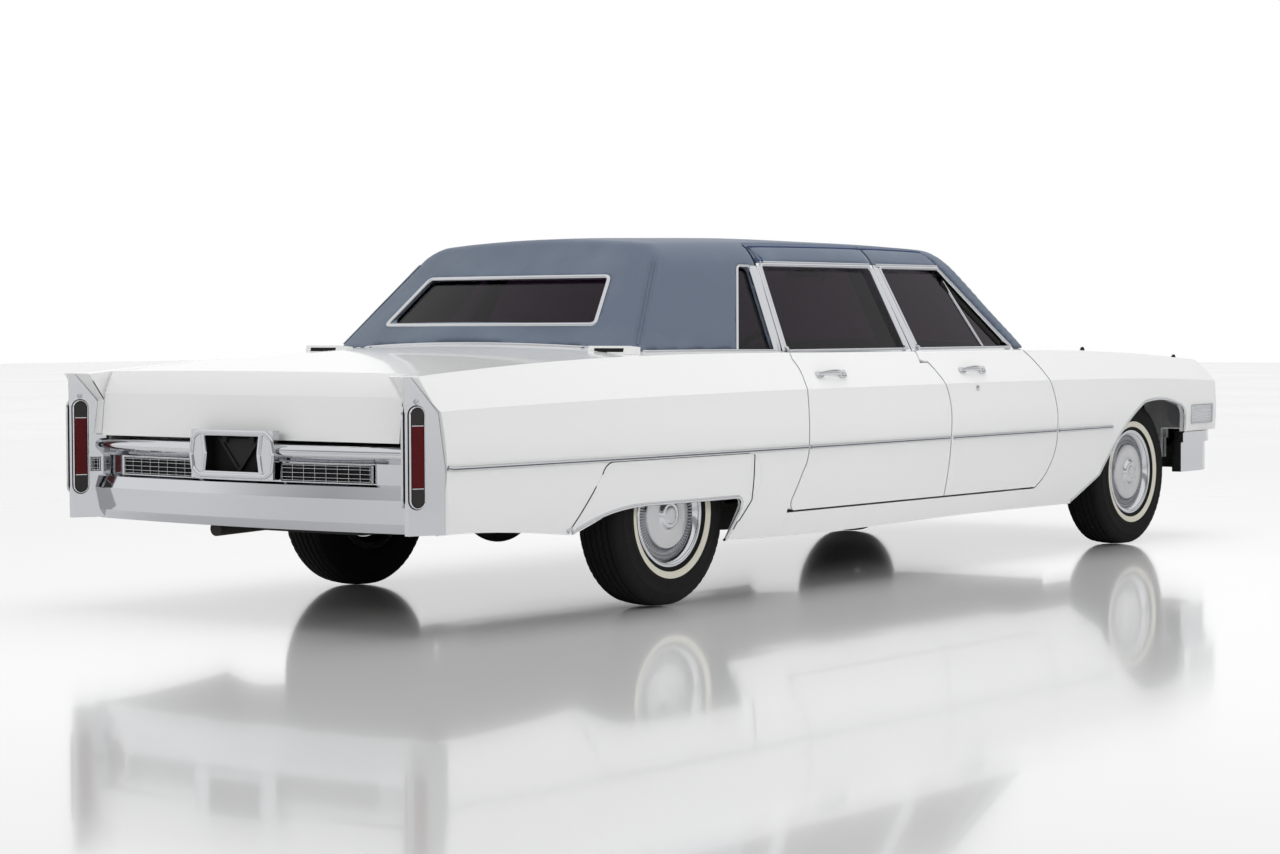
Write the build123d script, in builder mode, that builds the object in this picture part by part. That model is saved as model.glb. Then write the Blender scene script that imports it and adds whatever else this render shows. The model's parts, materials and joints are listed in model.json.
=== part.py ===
"""A long-wheelbase four-door limousine with a padded cloth top, built panel by panel.

Frame: +X forward, +Y to the car's left, +Z up. The origin is on the ground under the middle of the car.
Right-hand pieces are drawn first and mirrored to the left.
"""

import os
from math import hypot

from build123d import *

# Overall sizes, in millimetres
LENGTH = 6210
HALF_WIDTH = 1013
HEIGHT = 1480
WHEELBASE = 3805
REAR_OVERHANG = 1511
TRACK = 1588

# Axles: every place along the car is given from one of these two
REAR = -LENGTH / 2 + REAR_OVERHANG
FRONT = REAR + WHEELBASE
TAIL = -LENGTH / 2
NOSE = LENGTH / 2
WHEEL_Y = TRACK / 2

# Wheels and tyres
TYRE_R = 362
TYRE_HALF = 108
BEAD_R = 190
RIM_HALF = 80
FLANGE_R = 207
STUB_R = 25
RUNNING = 0.05
KINGPIN_IN = 90
DRUM_R = 155

# Heights
SILL_Z = 243
DOOR_BOTTOM_Z = 342
TRIM_Z = 600
BELT_Z = 981
WINDOW_Z = 990
WINDOW_TOP = 1345
FLOOR_Z = 360.3
SUNK_Z = 900

# Thicknesses and gaps
SKIN = 25
DOOR_INNER_Y = 865
ROOF_WALL = 40
GLASS = 6
GLASS_IN = 14
DOOR_GAP = 8
PANEL_GAP = 3
SKIRT_GAP = 0.9
SEAT_GAP = 0.3

# Split lines along the car
DOOR_BACK = REAR + 788
DOOR_SPLIT = REAR + 1904
DOOR_NOSE = FRONT - 954
HOOD_BACK = FRONT - 771
FENDER_NOSE = FRONT + 814
LID_FRONT = REAR - 356
HOOD_HALF = 640
LID_HALF = 775
HEADER_Y = 600
ROOF_ROUND = 70
RISE_ROOM = 100
SIDE_ROOM = 90

# Door edges lean so that the doors swing clear: travel along the car per step inboard
LOW_SKEW = 0.2
HIGH_SKEW = 0.45
LOW_REF_Y = 1000
HIGH_REF_Y = 905

os.makedirs("parts", exist_ok=True)


def keep(builder, name):
    """Label a finished piece and write it."""
    builder.part.label = name
    export_step(builder.part, f"parts/{name}.step")


def outline(points):
    """Closed outline: (x, z) ends a line, (x, z, via_x, via_z) ends an arc through a third point."""
    start = points[-1][:2]
    for x, z, *via in points:
        if via:
            ThreePointArc(start, tuple(via), (x, z))
        else:
            Line(start, (x, z))
        start = (x, z)


def side_prism(points, outer, inner, skew=0.0, grow=0.0):
    """Solid behind a side-view outline, from y = -outer in to y = -inner."""
    reach = outer - inner
    with BuildPart() as prism:
        with BuildSketch(Plane.XZ.offset(outer)):
            with BuildLine():
                outline(points)
            make_face()
            if grow:
                offset(amount=grow)
        extrude(amount=hypot(reach, skew * reach), dir=(skew, 1, 0))
    return prism.part


def block(x, y, z):
    """Box between two ends along each axis."""
    with BuildPart() as box:
        with Locations(((x[0] + x[1]) / 2, (y[0] + y[1]) / 2, (z[0] + z[1]) / 2)):
            Box(x[1] - x[0], y[1] - y[0], z[1] - z[0])
    return box.part


def twin(right, name):
    """Write a right-hand piece and its mirror as two solids of one node."""
    with BuildPart() as pair:
        add(right)
        mirror(right, about=Plane.XZ)
    keep(pair, name)
    return pair.part


def sides(right, name):
    """Write a right-hand piece and its mirror as two nodes."""
    with BuildPart() as piece:
        add(right)
    keep(piece, f"{name}_right")
    with BuildPart() as other:
        mirror(right, about=Plane.XZ)
    keep(other, f"{name}_left")


# Lower body: cross-sections along the car.
# x, sill rise, sill inset, side inset, crease z, crease inset, shoulder rise, shoulder inset, crown rise
HULL_ROWS = [
    (TAIL + 10, 112, 121, 71, 800, 76, -58, 138, 5),
    (REAR - 506, 65, 88, 23, 825, 31, -3, 108, 32),
    (REAR + 394, 0, 75, 3, 835, 12, 7, 91, 57),
    (REAR + 1794, 0, 71, 0, 838, 9, 0, 85, 64),
    (FRONT - 911, 1, 75, 5, 836, 13, -5, 88, 54),
    (FRONT + 89, 12, 88, 23, 825, 30, -36, 101, 40),
    (FENDER_NOSE, 87, 118, 63, 800, 69, -76, 133, 25),
]


def hull_solid(inset=0.0, sunk=0.0):
    """Whole lower body as one solid, or its inside at a wall's depth, open below by sunk."""
    with BuildPart() as hull:
        for row, end in zip(HULL_ROWS, (1, 0, 0, 0, 0, 0, -1)):
            x, sill, sill_in, side_in, crease_z, crease_in, rise, shoulder_in, crown = row
            sill_y, sill_z = HALF_WIDTH - sill_in - inset, SILL_Z + sill - sunk
            side_y = HALF_WIDTH - side_in - inset
            crease_y = HALF_WIDTH - crease_in - inset
            top_y, top_z = HALF_WIDTH - shoulder_in - inset, BELT_Z + rise - inset
            with BuildSketch(Plane.YZ.offset(x + end * inset)):
                with BuildLine():
                    Line((-sill_y, sill_z), (sill_y, sill_z))
                    ThreePointArc((sill_y, sill_z), (side_y, TRIM_Z), (crease_y, crease_z))
                    Line((crease_y, crease_z), (top_y, top_z))
                    ThreePointArc((top_y, top_z), (0, top_z + crown), (-top_y, top_z))
                    Line((-top_y, top_z), (-crease_y, crease_z))
                    ThreePointArc((-crease_y, crease_z), (-side_y, TRIM_Z), (-sill_y, sill_z))
                make_face()
        loft()
        # the fenders' and hood's nose rounds down into the front face
        nose_x, nose_z = FENDER_NOSE - inset, BELT_Z - inset
        with BuildSketch(Plane.XZ.offset(-HALF_WIDTH - SKIN)):
            with BuildLine():
                outline([
                    (nose_x + SKIN + 10, nose_z + 200),
                    (nose_x - 258, nose_z + 200),
                    (nose_x - 258, nose_z - 60),
                    (nose_x, nose_z - 190, nose_x - 70, nose_z - 100),
                    (nose_x + SKIN + 10, nose_z - 190),
                ])
            make_face()
        extrude(amount=2 * (HALF_WIDTH + SKIN), mode=Mode.SUBTRACT)
    return hull.part


# Cabin above the belt: x, belt inset, edge inset, edge drop, crown inset, crown drop, top drop
HOUSE_ROWS = [
    (REAR - 306, 223, 413, 190, 563, 95, 75),
    (REAR + 394, 148, 333, 142, 488, 40, 17),
    (REAR + 1594, 108, 298, 128, 453, 26, 0),
    (FRONT - 1411, 115, 308, 138, 461, 40, 16),
    (FRONT - 711, 153, 353, 190, 498, 100, 80),
]
REAR_FACE = (REAR - 86, 793, REAR - 190, 1025)
REAR_LEAN = 1.07
SHIELD_FACE = (FRONT - 1051, 880, FRONT - 841, 985)
SHIELD_LEAN = -1.147


def face_cut(face, lean, shift, far):
    """Everything beyond a curved sloping window face; shift moves the face along the car."""
    side_x, side_y, mid_x, face_z = face
    down = lean * (SUNK_Z - 20 - face_z) + shift
    rise = HEIGHT + RISE_ROOM - SUNK_Z + 20
    flank = side_x + (side_x - mid_x) * 0.7
    with BuildPart() as cut:
        with BuildSketch(Plane.XY.offset(SUNK_Z - 20)):
            with BuildLine():
                ThreePointArc(
                    (flank + down, -side_y * 1.3), (mid_x + down, 0), (flank + down, side_y * 1.3)
                )
                Polyline(
                    (flank + down, side_y * 1.3),
                    (far + down, side_y * 1.3),
                    (far + down, -side_y * 1.3),
                    (flank + down, -side_y * 1.3),
                )
            make_face()
        extrude(amount=rise * hypot(1, lean), dir=(lean, 0, 1))
    return cut.part


def house_solid(inset=0.0):
    """Whole cabin top as one solid, or its inside at a wall's depth."""
    with BuildPart() as house:
        for x, belt_in, edge_in, edge_drop, crown_in, crown_drop, drop in HOUSE_ROWS:
            side_in = inset * 1.13
            belt_y = HALF_WIDTH - belt_in - side_in
            edge_y, edge_z = HALF_WIDTH - edge_in - side_in, HEIGHT - edge_drop - inset * 0.45
            crown_y, crown_z = HALF_WIDTH - crown_in - inset * 0.5, HEIGHT - crown_drop - inset
            base_y = belt_y + (BELT_Z - SUNK_Z) * (belt_y - edge_y) / (edge_z - BELT_Z)
            with BuildSketch(Plane.YZ.offset(x)):
                with BuildLine():
                    Line((-base_y, SUNK_Z), (base_y, SUNK_Z))
                    Line((base_y, SUNK_Z), (edge_y, edge_z))
                    TangentArc(
                        (edge_y, edge_z),
                        (crown_y, crown_z),
                        tangent=(edge_y - base_y, edge_z - SUNK_Z),
                    )
                    ThreePointArc(
                        (crown_y, crown_z), (0, HEIGHT - drop - inset), (-crown_y, crown_z)
                    )
                    TangentArc(
                        (-edge_y, edge_z),
                        (-crown_y, crown_z),
                        tangent=(base_y - edge_y, edge_z - SUNK_Z),
                    )
                    Line((-edge_y, edge_z), (-base_y, SUNK_Z))
                make_face()
        loft()
        add(face_cut(REAR_FACE, REAR_LEAN, inset * 1.4, REAR - 1500), mode=Mode.SUBTRACT)
        add(face_cut(SHIELD_FACE, SHIELD_LEAN, -inset * 1.5, FRONT + 500), mode=Mode.SUBTRACT)
        # the padded top turns softly from the rear face into the sides and the crown
        rear_face = house.faces().filter_by(GeomType.EXTRUSION).sort_by(Axis.X)[0]
        fillet([edge for edge in rear_face.edges() if edge.center().Z > BELT_Z], ROOF_ROUND - inset)
    return house.part



# Masters that the panels are cut from
hull = hull_solid()
hull_core = hull_solid(SKIN, 80)
house = house_solid()
house_core = house_solid(ROOF_WALL)
seat = Pos(0, 0, SEAT_GAP) * hull
with BuildPart() as house_shell:
    add(house)
    add(house_core, mode=Mode.SUBTRACT)
with BuildPart() as pane_shell:
    add(house_solid(GLASS_IN))
    add(house_solid(GLASS_IN + GLASS), mode=Mode.SUBTRACT)

# Door outlines below the belt, from the front top corner round: (x, z) or (x, z, via_x, via_z)
TOP_Z = BELT_Z + 60
FRONT_DOOR = [
    (DOOR_NOSE - 197, TOP_Z),
    (DOOR_NOSE - 197, BELT_Z - 6),
    (DOOR_NOSE, BELT_Z - 310, DOOR_NOSE - 60, BELT_Z - 145),
    (DOOR_NOSE, DOOR_BOTTOM_Z + 215),
    (DOOR_NOSE - 150, DOOR_BOTTOM_Z, DOOR_NOSE - 47, DOOR_BOTTOM_Z + 92),
    (DOOR_SPLIT - 8, DOOR_BOTTOM_Z),
    (DOOR_SPLIT, BELT_Z - 305),
    (DOOR_SPLIT - 140, BELT_Z - 25, DOOR_SPLIT - 38, BELT_Z - 140),
    (DOOR_SPLIT - 140, TOP_Z),
]
REAR_DOOR = [
    (DOOR_SPLIT - 140, TOP_Z),
    (DOOR_SPLIT - 140, BELT_Z - 25),
    (DOOR_SPLIT, BELT_Z - 305, DOOR_SPLIT - 38, BELT_Z - 140),
    (DOOR_SPLIT - 8, DOOR_BOTTOM_Z),
    (DOOR_BACK - 50, DOOR_BOTTOM_Z),
    (DOOR_BACK - 92, DOOR_BOTTOM_Z + 42, DOOR_BACK - 85, DOOR_BOTTOM_Z + 12),
    (DOOR_BACK - 34, DOOR_BOTTOM_Z + 156),
    (DOOR_BACK, BELT_Z - 374, DOOR_BACK - 10, BELT_Z - 440),
    (DOOR_BACK, BELT_Z - 100),
    (DOOR_BACK - 30, BELT_Z - 20, DOOR_BACK - 8, BELT_Z - 55),
    (DOOR_BACK - 30, TOP_Z),
]

# Door frames above the belt: where each edge stands at the belt and how far it leans by the window top
FRAME_TOP = WINDOW_TOP + 5
FRAME_FOOT = BELT_Z - 50
FRAME_HEAD = HEIGHT + 40
FRAME_EDGES = {
    "back": (DOOR_BACK - 8, -22),
    "split": (DOOR_SPLIT - 158, -103),
    "nose": (FRONT - 1157, -441),
}


def frame_point(edge, z, shift):
    """Point on a frame edge at a height, moved along the car."""
    foot, lean = FRAME_EDGES[edge]
    return (foot + lean * (z - BELT_Z) / (FRAME_TOP - BELT_Z) + shift, z)


def frame_outline(back, nose, slack):
    """Side outline of a door frame between two of its edges, slack wider than the door."""
    return [
        frame_point(back, FRAME_FOOT, -slack),
        frame_point(nose, FRAME_FOOT, slack),
        frame_point(nose, FRAME_HEAD, slack),
        frame_point(back, FRAME_HEAD, -slack),
    ]


def low_prism(points, grow=0.0, inner=DOOR_INNER_Y):
    """A door's lower half as a leaning prism."""
    outer = HALF_WIDTH + SIDE_ROOM
    shift = LOW_SKEW * (outer - LOW_REF_Y)
    moved = []
    for x, z, *via in points:
        middle = (via[0] - shift, via[1]) if via else ()
        moved.append((x - shift, z, *middle))
    return side_prism(moved, outer, inner, LOW_SKEW, grow)


def high_prism(back, nose, slack=0.0, inner=HEADER_Y):
    """A door's window frame as a leaning prism."""
    outer = HALF_WIDTH
    shift = -HIGH_SKEW * (outer - HIGH_REF_Y)
    moved = [(x + shift, z) for x, z in frame_outline(back, nose, slack)]
    return side_prism(moved, outer, inner, HIGH_SKEW)


# Window openings in side view
DOOR_WINDOWS = {
    "rear": [
        (DOOR_BACK + 27, WINDOW_Z),
        (DOOR_SPLIT - 214, WINDOW_Z),
        (DOOR_SPLIT - 224, WINDOW_TOP),
        (DOOR_BACK + 92, WINDOW_TOP),
    ],
    "front": [
        (DOOR_SPLIT - 101, WINDOW_Z),
        (FRONT - 1193, WINDOW_Z),
        (FRONT - 1537, WINDOW_TOP),
        (DOOR_SPLIT - 129, WINDOW_TOP),
    ],
}
QUARTER_TOP = WINDOW_TOP - 7
QUARTER_WINDOW = [
    (DOOR_BACK - 299, WINDOW_Z),
    (DOOR_BACK - 66, WINDOW_Z),
    (DOOR_BACK + 2, QUARTER_TOP),
    (DOOR_BACK - 70, QUARTER_TOP),
]

doors = {
    "front": (FRONT_DOOR, "split", "nose"),
    "rear": (REAR_DOOR, "back", "split"),
}
for name, (points, back, nose) in doors.items():
    with BuildPart() as frame:
        add(house_shell.part)
        add(high_prism(back, nose), mode=Mode.INTERSECT)
        add(hull, mode=Mode.SUBTRACT)
    with BuildPart() as door:
        add(hull)
        add(low_prism(points), mode=Mode.INTERSECT)
        add(frame.part)
        add(side_prism(DOOR_WINDOWS[name], HALF_WIDTH, HEADER_Y), mode=Mode.SUBTRACT)
        if name == "rear":
            add(low_prism(FRONT_DOOR, DOOR_GAP), mode=Mode.SUBTRACT)
            add(high_prism("split", "nose", DOOR_GAP, HEADER_Y - DOOR_GAP), mode=Mode.SUBTRACT)
    sides(door.part, f"door_{name}")
    with BuildPart() as pane:
        add(pane_shell.part)
        add(side_prism(DOOR_WINDOWS[name], HALF_WIDTH, HEADER_Y, grow=-SEAT_GAP), mode=Mode.INTERSECT)
    sides(pane.part, f"door_{name}_glass")


# Openings the body panels leave round the doors
with BuildPart() as door_room:
    for points in (FRONT_DOOR, REAR_DOOR):
        add(low_prism(points, DOOR_GAP, HEADER_Y))
with BuildPart() as frame_room:
    add(high_prism("back", "nose", DOOR_GAP, HEADER_Y - DOOR_GAP))

# Windscreen and rear window openings, as half-widths at foot and head
SHIELD_HOLE = (815, WINDOW_Z, 640, 1375)
REAR_HOLE = (546, 1113, 476, 1289)


def end_prism(hole, x_from, x_to, grow=0.0):
    """Opening seen along the car, as a prism between two places."""
    foot_y, foot_z, head_y, head_z = hole
    with BuildPart() as prism:
        with BuildSketch(Plane.YZ.offset(x_from)):
            with BuildLine():
                Polyline(
                    (-foot_y, foot_z), (foot_y, foot_z), (head_y, head_z), (-head_y, head_z), close=True
                )
            make_face()
            if grow:
                offset(amount=grow)
        extrude(amount=x_to - x_from)
    return prism.part


SHIELD_X = (FRONT - 1600, FRONT - 600)
REAR_X = (REAR - 450, REAR + 300)
with BuildPart() as roof:
    add(house_shell.part)
    add(seat, mode=Mode.SUBTRACT)
    add(frame_room.part, mode=Mode.SUBTRACT)
    mirror(frame_room.part, about=Plane.XZ, mode=Mode.SUBTRACT)
    add(end_prism(SHIELD_HOLE, *SHIELD_X), mode=Mode.SUBTRACT)
    add(end_prism(REAR_HOLE, *REAR_X), mode=Mode.SUBTRACT)
    quarter_hole = side_prism(QUARTER_WINDOW, HALF_WIDTH, HEADER_Y)
    add(quarter_hole, mode=Mode.SUBTRACT)
    mirror(quarter_hole, about=Plane.XZ, mode=Mode.SUBTRACT)
keep(roof, "roof")

with BuildPart() as shield:
    add(pane_shell.part)
    add(end_prism(SHIELD_HOLE, *SHIELD_X, grow=-SEAT_GAP), mode=Mode.INTERSECT)
    add(seat, mode=Mode.SUBTRACT)
with BuildPart() as back_light:
    add(pane_shell.part)
    add(end_prism(REAR_HOLE, *REAR_X, grow=-SEAT_GAP), mode=Mode.INTERSECT)
with BuildPart() as quarter_light:
    add(pane_shell.part)
    add(side_prism(QUARTER_WINDOW, HALF_WIDTH, HEADER_Y, grow=-SEAT_GAP), mode=Mode.INTERSECT)
    add(seat, mode=Mode.SUBTRACT)
with BuildPart() as fixed_glass:
    add(shield.part)
    add(back_light.part)
    add(quarter_light.part)
    mirror(quarter_light.part, about=Plane.XZ)
keep(fixed_glass, "fixed_glass")

# Front wheel arch and rear skirt, seen from the side
ARCH = [
    (FRONT - 705, SILL_Z - 60),
    (FRONT + 290, SILL_Z - 60),
    (FRONT + 308, 339),
    (FRONT + 406, 520, FRONT + 375, 418),
    (FRONT + 406, 610),
    (FRONT + 330, 690, FRONT + 392, 665),
    (FRONT - 60, 706, FRONT + 140, 718),
    (FRONT - 478, 369, FRONT - 300, 570),
    (FRONT - 705, 251),
]
SKIRT = [
    (REAR - 720, SILL_Z - 20),
    (REAR + 285, SILL_Z - 20),
    (REAR + 414, 400),
    (REAR + 400, 582, REAR + 458, 500),
    (REAR + 360, 591),
    (REAR - 480, 591),
    (REAR - 545, 548, REAR - 522, 578),
    (REAR - 690, 317),
]
SKIRT_HOLE = [
    (REAR - 760, SILL_Z - 40),
    (REAR + 270, SILL_Z - 40),
    (REAR + 345, 372),
    (REAR + 297, 411, REAR + 340, 405),
    (REAR - 262, 411),
    (REAR - 494, 384, REAR - 383, 406),
    (REAR - 690, 306),
]
arch_cut = side_prism(ARCH, HALF_WIDTH + SIDE_ROOM, HOOD_HALF)
skirt_block = side_prism(SKIRT, HALF_WIDTH + SIDE_ROOM, HOOD_HALF)
BUMPER_TOP_Z = 548
LAMP_Y = 775
LAMP_Z = (628, 778)
LAMP_R = 72
LAMP_DEPTH = 60

# Cornering lamp: x from, x to, z from, z to
CORNER = (FRONT + 493, FRONT + 753, 594, 677)
CORNER_DEPTH = 70

# Ends of the rockers, and the room that fender and quarter leave for them
ROCKER_Y = 780
ROCKER_BACK = 110
ROCKER_NOSE = 238
ROCKER_ROOM_Z = DOOR_BOTTOM_Z + 8
WIDE_Y = HALF_WIDTH + 20
with BuildPart() as fender:
    add(hull)
    add(hull_core, mode=Mode.SUBTRACT)
    fender_y = (-WIDE_Y, -HOOD_HALF - DOOR_GAP)
    add(block((DOOR_NOSE - 260, FENDER_NOSE), fender_y, (0, HEIGHT)), mode=Mode.INTERSECT)
    add(door_room.part, mode=Mode.SUBTRACT)
    add(block((REAR, DOOR_NOSE - ROCKER_NOSE), (-WIDE_Y, 0), (0, ROCKER_ROOM_Z)), mode=Mode.SUBTRACT)
    add(arch_cut, mode=Mode.SUBTRACT)
    bumper_room = block((FRONT + 200, FENDER_NOSE + 1), (-WIDE_Y, 0), (0, BUMPER_TOP_Z + PANEL_GAP))
    add(bumper_room, mode=Mode.SUBTRACT)
    with Locations([Pos(FENDER_NOSE, -LAMP_Y, z) * Rot(0, 90, 0) for z in LAMP_Z]):
        Cylinder(LAMP_R, 2 * LAMP_DEPTH + 4 * DOOR_GAP, mode=Mode.SUBTRACT)
    corner_x = (CORNER[0] - SEAT_GAP, CORNER[1] + SEAT_GAP)
    corner_z = (CORNER[2] - SEAT_GAP, CORNER[3] + SEAT_GAP)
    add(block(corner_x, (-HALF_WIDTH, -HALF_WIDTH + CORNER_DEPTH + SKIN), corner_z), mode=Mode.SUBTRACT)
sides(fender.part, "fender")

# Tail end of the quarter panels: the fin runs back over the lamp pod
TAIL_LINE = [(TAIL + 11, 928), (TAIL + 106, 800), (TAIL + 131, 596), (TAIL + 131, SILL_Z - 30)]
quarter_side = TAIL_LINE + [(DOOR_BACK + 120, SILL_Z - 30), (DOOR_BACK + 120, HEIGHT), (TAIL + 11, HEIGHT)]
with BuildPart() as quarter:
    add(hull)
    add(hull_core, mode=Mode.SUBTRACT)
    add(side_prism(quarter_side, HALF_WIDTH + 20, LID_HALF + DOOR_GAP), mode=Mode.INTERSECT)
    add(door_room.part, mode=Mode.SUBTRACT)
    add(block((DOOR_BACK - ROCKER_BACK, FRONT), (-WIDE_Y, 0), (0, ROCKER_ROOM_Z)), mode=Mode.SUBTRACT)
    add(side_prism(SKIRT, HALF_WIDTH + SIDE_ROOM, HOOD_HALF, grow=SKIRT_GAP), mode=Mode.SUBTRACT)
sides(quarter.part, "quarter")

with BuildPart() as skirt:
    add(hull)
    add(hull_core, mode=Mode.SUBTRACT)
    add(skirt_block, mode=Mode.INTERSECT)
    add(side_prism(SKIRT_HOLE, HALF_WIDTH + SIDE_ROOM, HOOD_HALF), mode=Mode.SUBTRACT)
twin(skirt.part, "skirts")

with BuildPart() as rocker:
    add(hull)
    rocker_x = (DOOR_BACK - ROCKER_BACK + SEAT_GAP, DOOR_NOSE - ROCKER_NOSE - SEAT_GAP)
    add(block(rocker_x, (-WIDE_Y, -ROCKER_Y), (0, DOOR_BOTTOM_Z - DOOR_GAP)), mode=Mode.INTERSECT)
twin(rocker.part, "rockers")

HOOD_FACE_Z = BELT_Z - 175
HOOD_FRONT_GAP = 14
HOOD_LIP = 30
with BuildPart() as hood:
    add(hull)
    add(hull_core, mode=Mode.SUBTRACT)
    hood_x = (HOOD_BACK, FENDER_NOSE - HOOD_LIP)
    add(block(hood_x, (-HOOD_HALF, HOOD_HALF), (HOOD_FACE_Z, HEIGHT)), mode=Mode.INTERSECT)
keep(hood, "hood")

GRILLE = (560, 570, 785)
with BuildPart() as front_panel:
    add(hull)
    add(hull_core, mode=Mode.SUBTRACT)
    side_y = HOOD_HALF + DOOR_GAP - SEAT_GAP
    panel_z = (BUMPER_TOP_Z - 150, HEIGHT)
    add(block((FENDER_NOSE - 60, FENDER_NOSE), (-side_y, side_y), panel_z), mode=Mode.INTERSECT)
    lip_x = (FENDER_NOSE - 260, FENDER_NOSE - HOOD_LIP + HOOD_FRONT_GAP)
    add(block(lip_x, (-side_y, side_y), (HOOD_FACE_Z - DOOR_GAP, HEIGHT)), mode=Mode.SUBTRACT)
    grille_x = (FENDER_NOSE - 100, FENDER_NOSE + 1)
    add(block(grille_x, (-GRILLE[0], GRILLE[0]), GRILLE[1:]), mode=Mode.SUBTRACT)
keep(front_panel, "front_panel")

# Trunk lid: top and rear face in one pressing
LID_BOTTOM_Z = 688
LID_REAR = TAIL + 68


def lid_side(shift):
    """Side outline of the lid's room, its rear face moved inward by shift."""
    return [
        (LID_REAR + shift, LID_BOTTOM_Z - 30),
        (LID_REAR + 22 + shift, 850),
        (LID_REAR + 120 + shift, BELT_Z + 10, LID_REAR + 50 + shift, 912),
        (LID_REAR + 120 + shift, HEIGHT),
        (LID_FRONT, HEIGHT),
        (LID_FRONT, LID_BOTTOM_Z - 30),
    ]


with BuildPart() as lid_core:
    add(hull_core)
    add(side_prism(lid_side(SKIN), HALF_WIDTH, -HALF_WIDTH), mode=Mode.INTERSECT)
with BuildPart() as trunk_lid:
    add(hull)
    add(side_prism(lid_side(0), LID_HALF, -LID_HALF), mode=Mode.INTERSECT)
    add(lid_core.part, mode=Mode.SUBTRACT)
    add(block((TAIL, LID_FRONT), (-LID_HALF, LID_HALF), (LID_BOTTOM_Z, HEIGHT)), mode=Mode.INTERSECT)
keep(trunk_lid, "trunk_lid")

DECK_HALF = LID_HALF + DOOR_GAP - SEAT_GAP
SHELF_X = REAR + 60
with BuildPart() as rear_deck:
    add(hull)
    add(hull_core, mode=Mode.SUBTRACT)
    deck_x = (LID_FRONT + DOOR_GAP, SHELF_X)
    add(block(deck_x, (-DECK_HALF, DECK_HALF), (BELT_Z - 80, HEIGHT)), mode=Mode.INTERSECT)
keep(rear_deck, "rear_deck")

COWL_HALF = HOOD_HALF + DOOR_GAP - SEAT_GAP
FIREWALL_X = FRONT - 880
FIREWALL = 15
TUNNEL_R = 190
FLOOR = 12
with BuildPart() as cowl:
    add(hull)
    add(hull_core, mode=Mode.SUBTRACT)
    cowl_x = (FIREWALL_X - 150, HOOD_BACK - DOOR_GAP)
    add(block(cowl_x, (-COWL_HALF, COWL_HALF), (BELT_Z - 80, HEIGHT)), mode=Mode.INTERSECT)
    wall_x = (FIREWALL_X, FIREWALL_X + FIREWALL)
    add(block(wall_x, (-COWL_HALF, COWL_HALF), (FLOOR_Z + 20, BELT_Z + 15)))
    add(block(wall_x, (-ROCKER_Y, ROCKER_Y), (FLOOR_Z + 20, BELT_Z - 80)))
    tunnel_z = (0, FLOOR_Z + TUNNEL_R + FLOOR)
    add(block((wall_x[0] - 1, wall_x[1] + 1), (-TUNNEL_R, TUNNEL_R), tunnel_z), mode=Mode.SUBTRACT)
keep(cowl, "cowl")

# Gutters that the shut hood and trunk lid rest on, hung under the panels round them
GUTTER = 8
GUTTER_IN = 22
GUTTER_OUT = 36
with BuildPart() as gutter_band:
    add(hull_solid(SKIN + SEAT_GAP, 80))
    add(hull_solid(SKIN + SEAT_GAP + GUTTER, 80), mode=Mode.SUBTRACT)
# open end, inner edge at the hinge, outer edge at the hinge, half-width of the panel
GUTTERS = [
    (LID_REAR + 160, LID_FRONT - GUTTER_IN, LID_FRONT + GUTTER_OUT, LID_HALF),
    (FENDER_NOSE - 300, HOOD_BACK + GUTTER_IN, HOOD_BACK - GUTTER_OUT, HOOD_HALF),
]


def gutter(open_x, inner_x, outer_x, half):
    """Three-sided gutter along a panel's sides and its hinged edge."""
    outer_y, inner_y = half + GUTTER_OUT, half - GUTTER_IN
    with BuildPart() as ring:
        add(block(sorted((open_x, outer_x)), (-outer_y, outer_y), (BELT_Z - 150, HEIGHT)))
        add(block(sorted((open_x, inner_x)), (-inner_y, inner_y), (0, HEIGHT)), mode=Mode.SUBTRACT)
        add(gutter_band.part, mode=Mode.INTERSECT)
    return ring.part


with BuildPart() as gutters:
    for row in GUTTERS:
        add(gutter(*row))
keep(gutters, "lid_gutters")

# Air scoops on the deck beside the roof's foot
SCOOP_Y = (660, 862)
with BuildPart() as scoop:
    with BuildSketch(Plane.XZ.offset(SCOOP_Y[0])):
        with BuildLine():
            outline([
                (REAR - 236, BELT_Z - 10),
                (REAR - 155, BELT_Z - 10),
                (REAR - 155, BELT_Z + 36),
                (REAR - 222, BELT_Z + 42),
            ])
        make_face()
    extrude(amount=SCOOP_Y[1] - SCOOP_Y[0])
    add(seat, mode=Mode.SUBTRACT)
    add(Pos(0, 0, SEAT_GAP) * roof.part, mode=Mode.SUBTRACT)
with BuildPart() as scoop_one:
    add(scoop.part.solids().sort_by(SortBy.VOLUME)[-1])
twin(scoop_one.part, "deck_scoops")

# Frame rail ends, which carry the bumpers
RAIL_REAR_Y = 520
RAIL_FRONT_Y = 400
RAIL_END = TAIL + 165
RAIL_NOSE = FRONT + 700

# Rear bumper: bar profile (x from the tail, z), lamp pods and plate housing
BAR_BOW_R = 5400
BAR_TURN = 8.95
POD_BLADE_Y = 874
POD_FRONT_Y = (795, 944)
POD_Z = (369, 926)
PLATE = (213, 545, 725)
PLATE_HOLE = (146, 566, 708)
BAR = [
    (TAIL + 75, 678),
    (TAIL + 32, 674),
    (TAIL + 26, 630, TAIL + 16, 652),
    (TAIL + 44, 612),
    (TAIL + 44, 538),
    (TAIL + 26, 530),
    (TAIL + 14, 486),
    (TAIL + 30, 400),
    (TAIL + 50, 365),
    (TAIL + 75, 365),
]
pod_side = [(x - PANEL_GAP, z - PANEL_GAP * 0.5) for x, z in TAIL_LINE[:3]]
pod_side += [(TAIL_LINE[2][0] - PANEL_GAP, POD_Z[0]), (TAIL, POD_Z[0]), (TAIL, POD_Z[1])]
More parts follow.
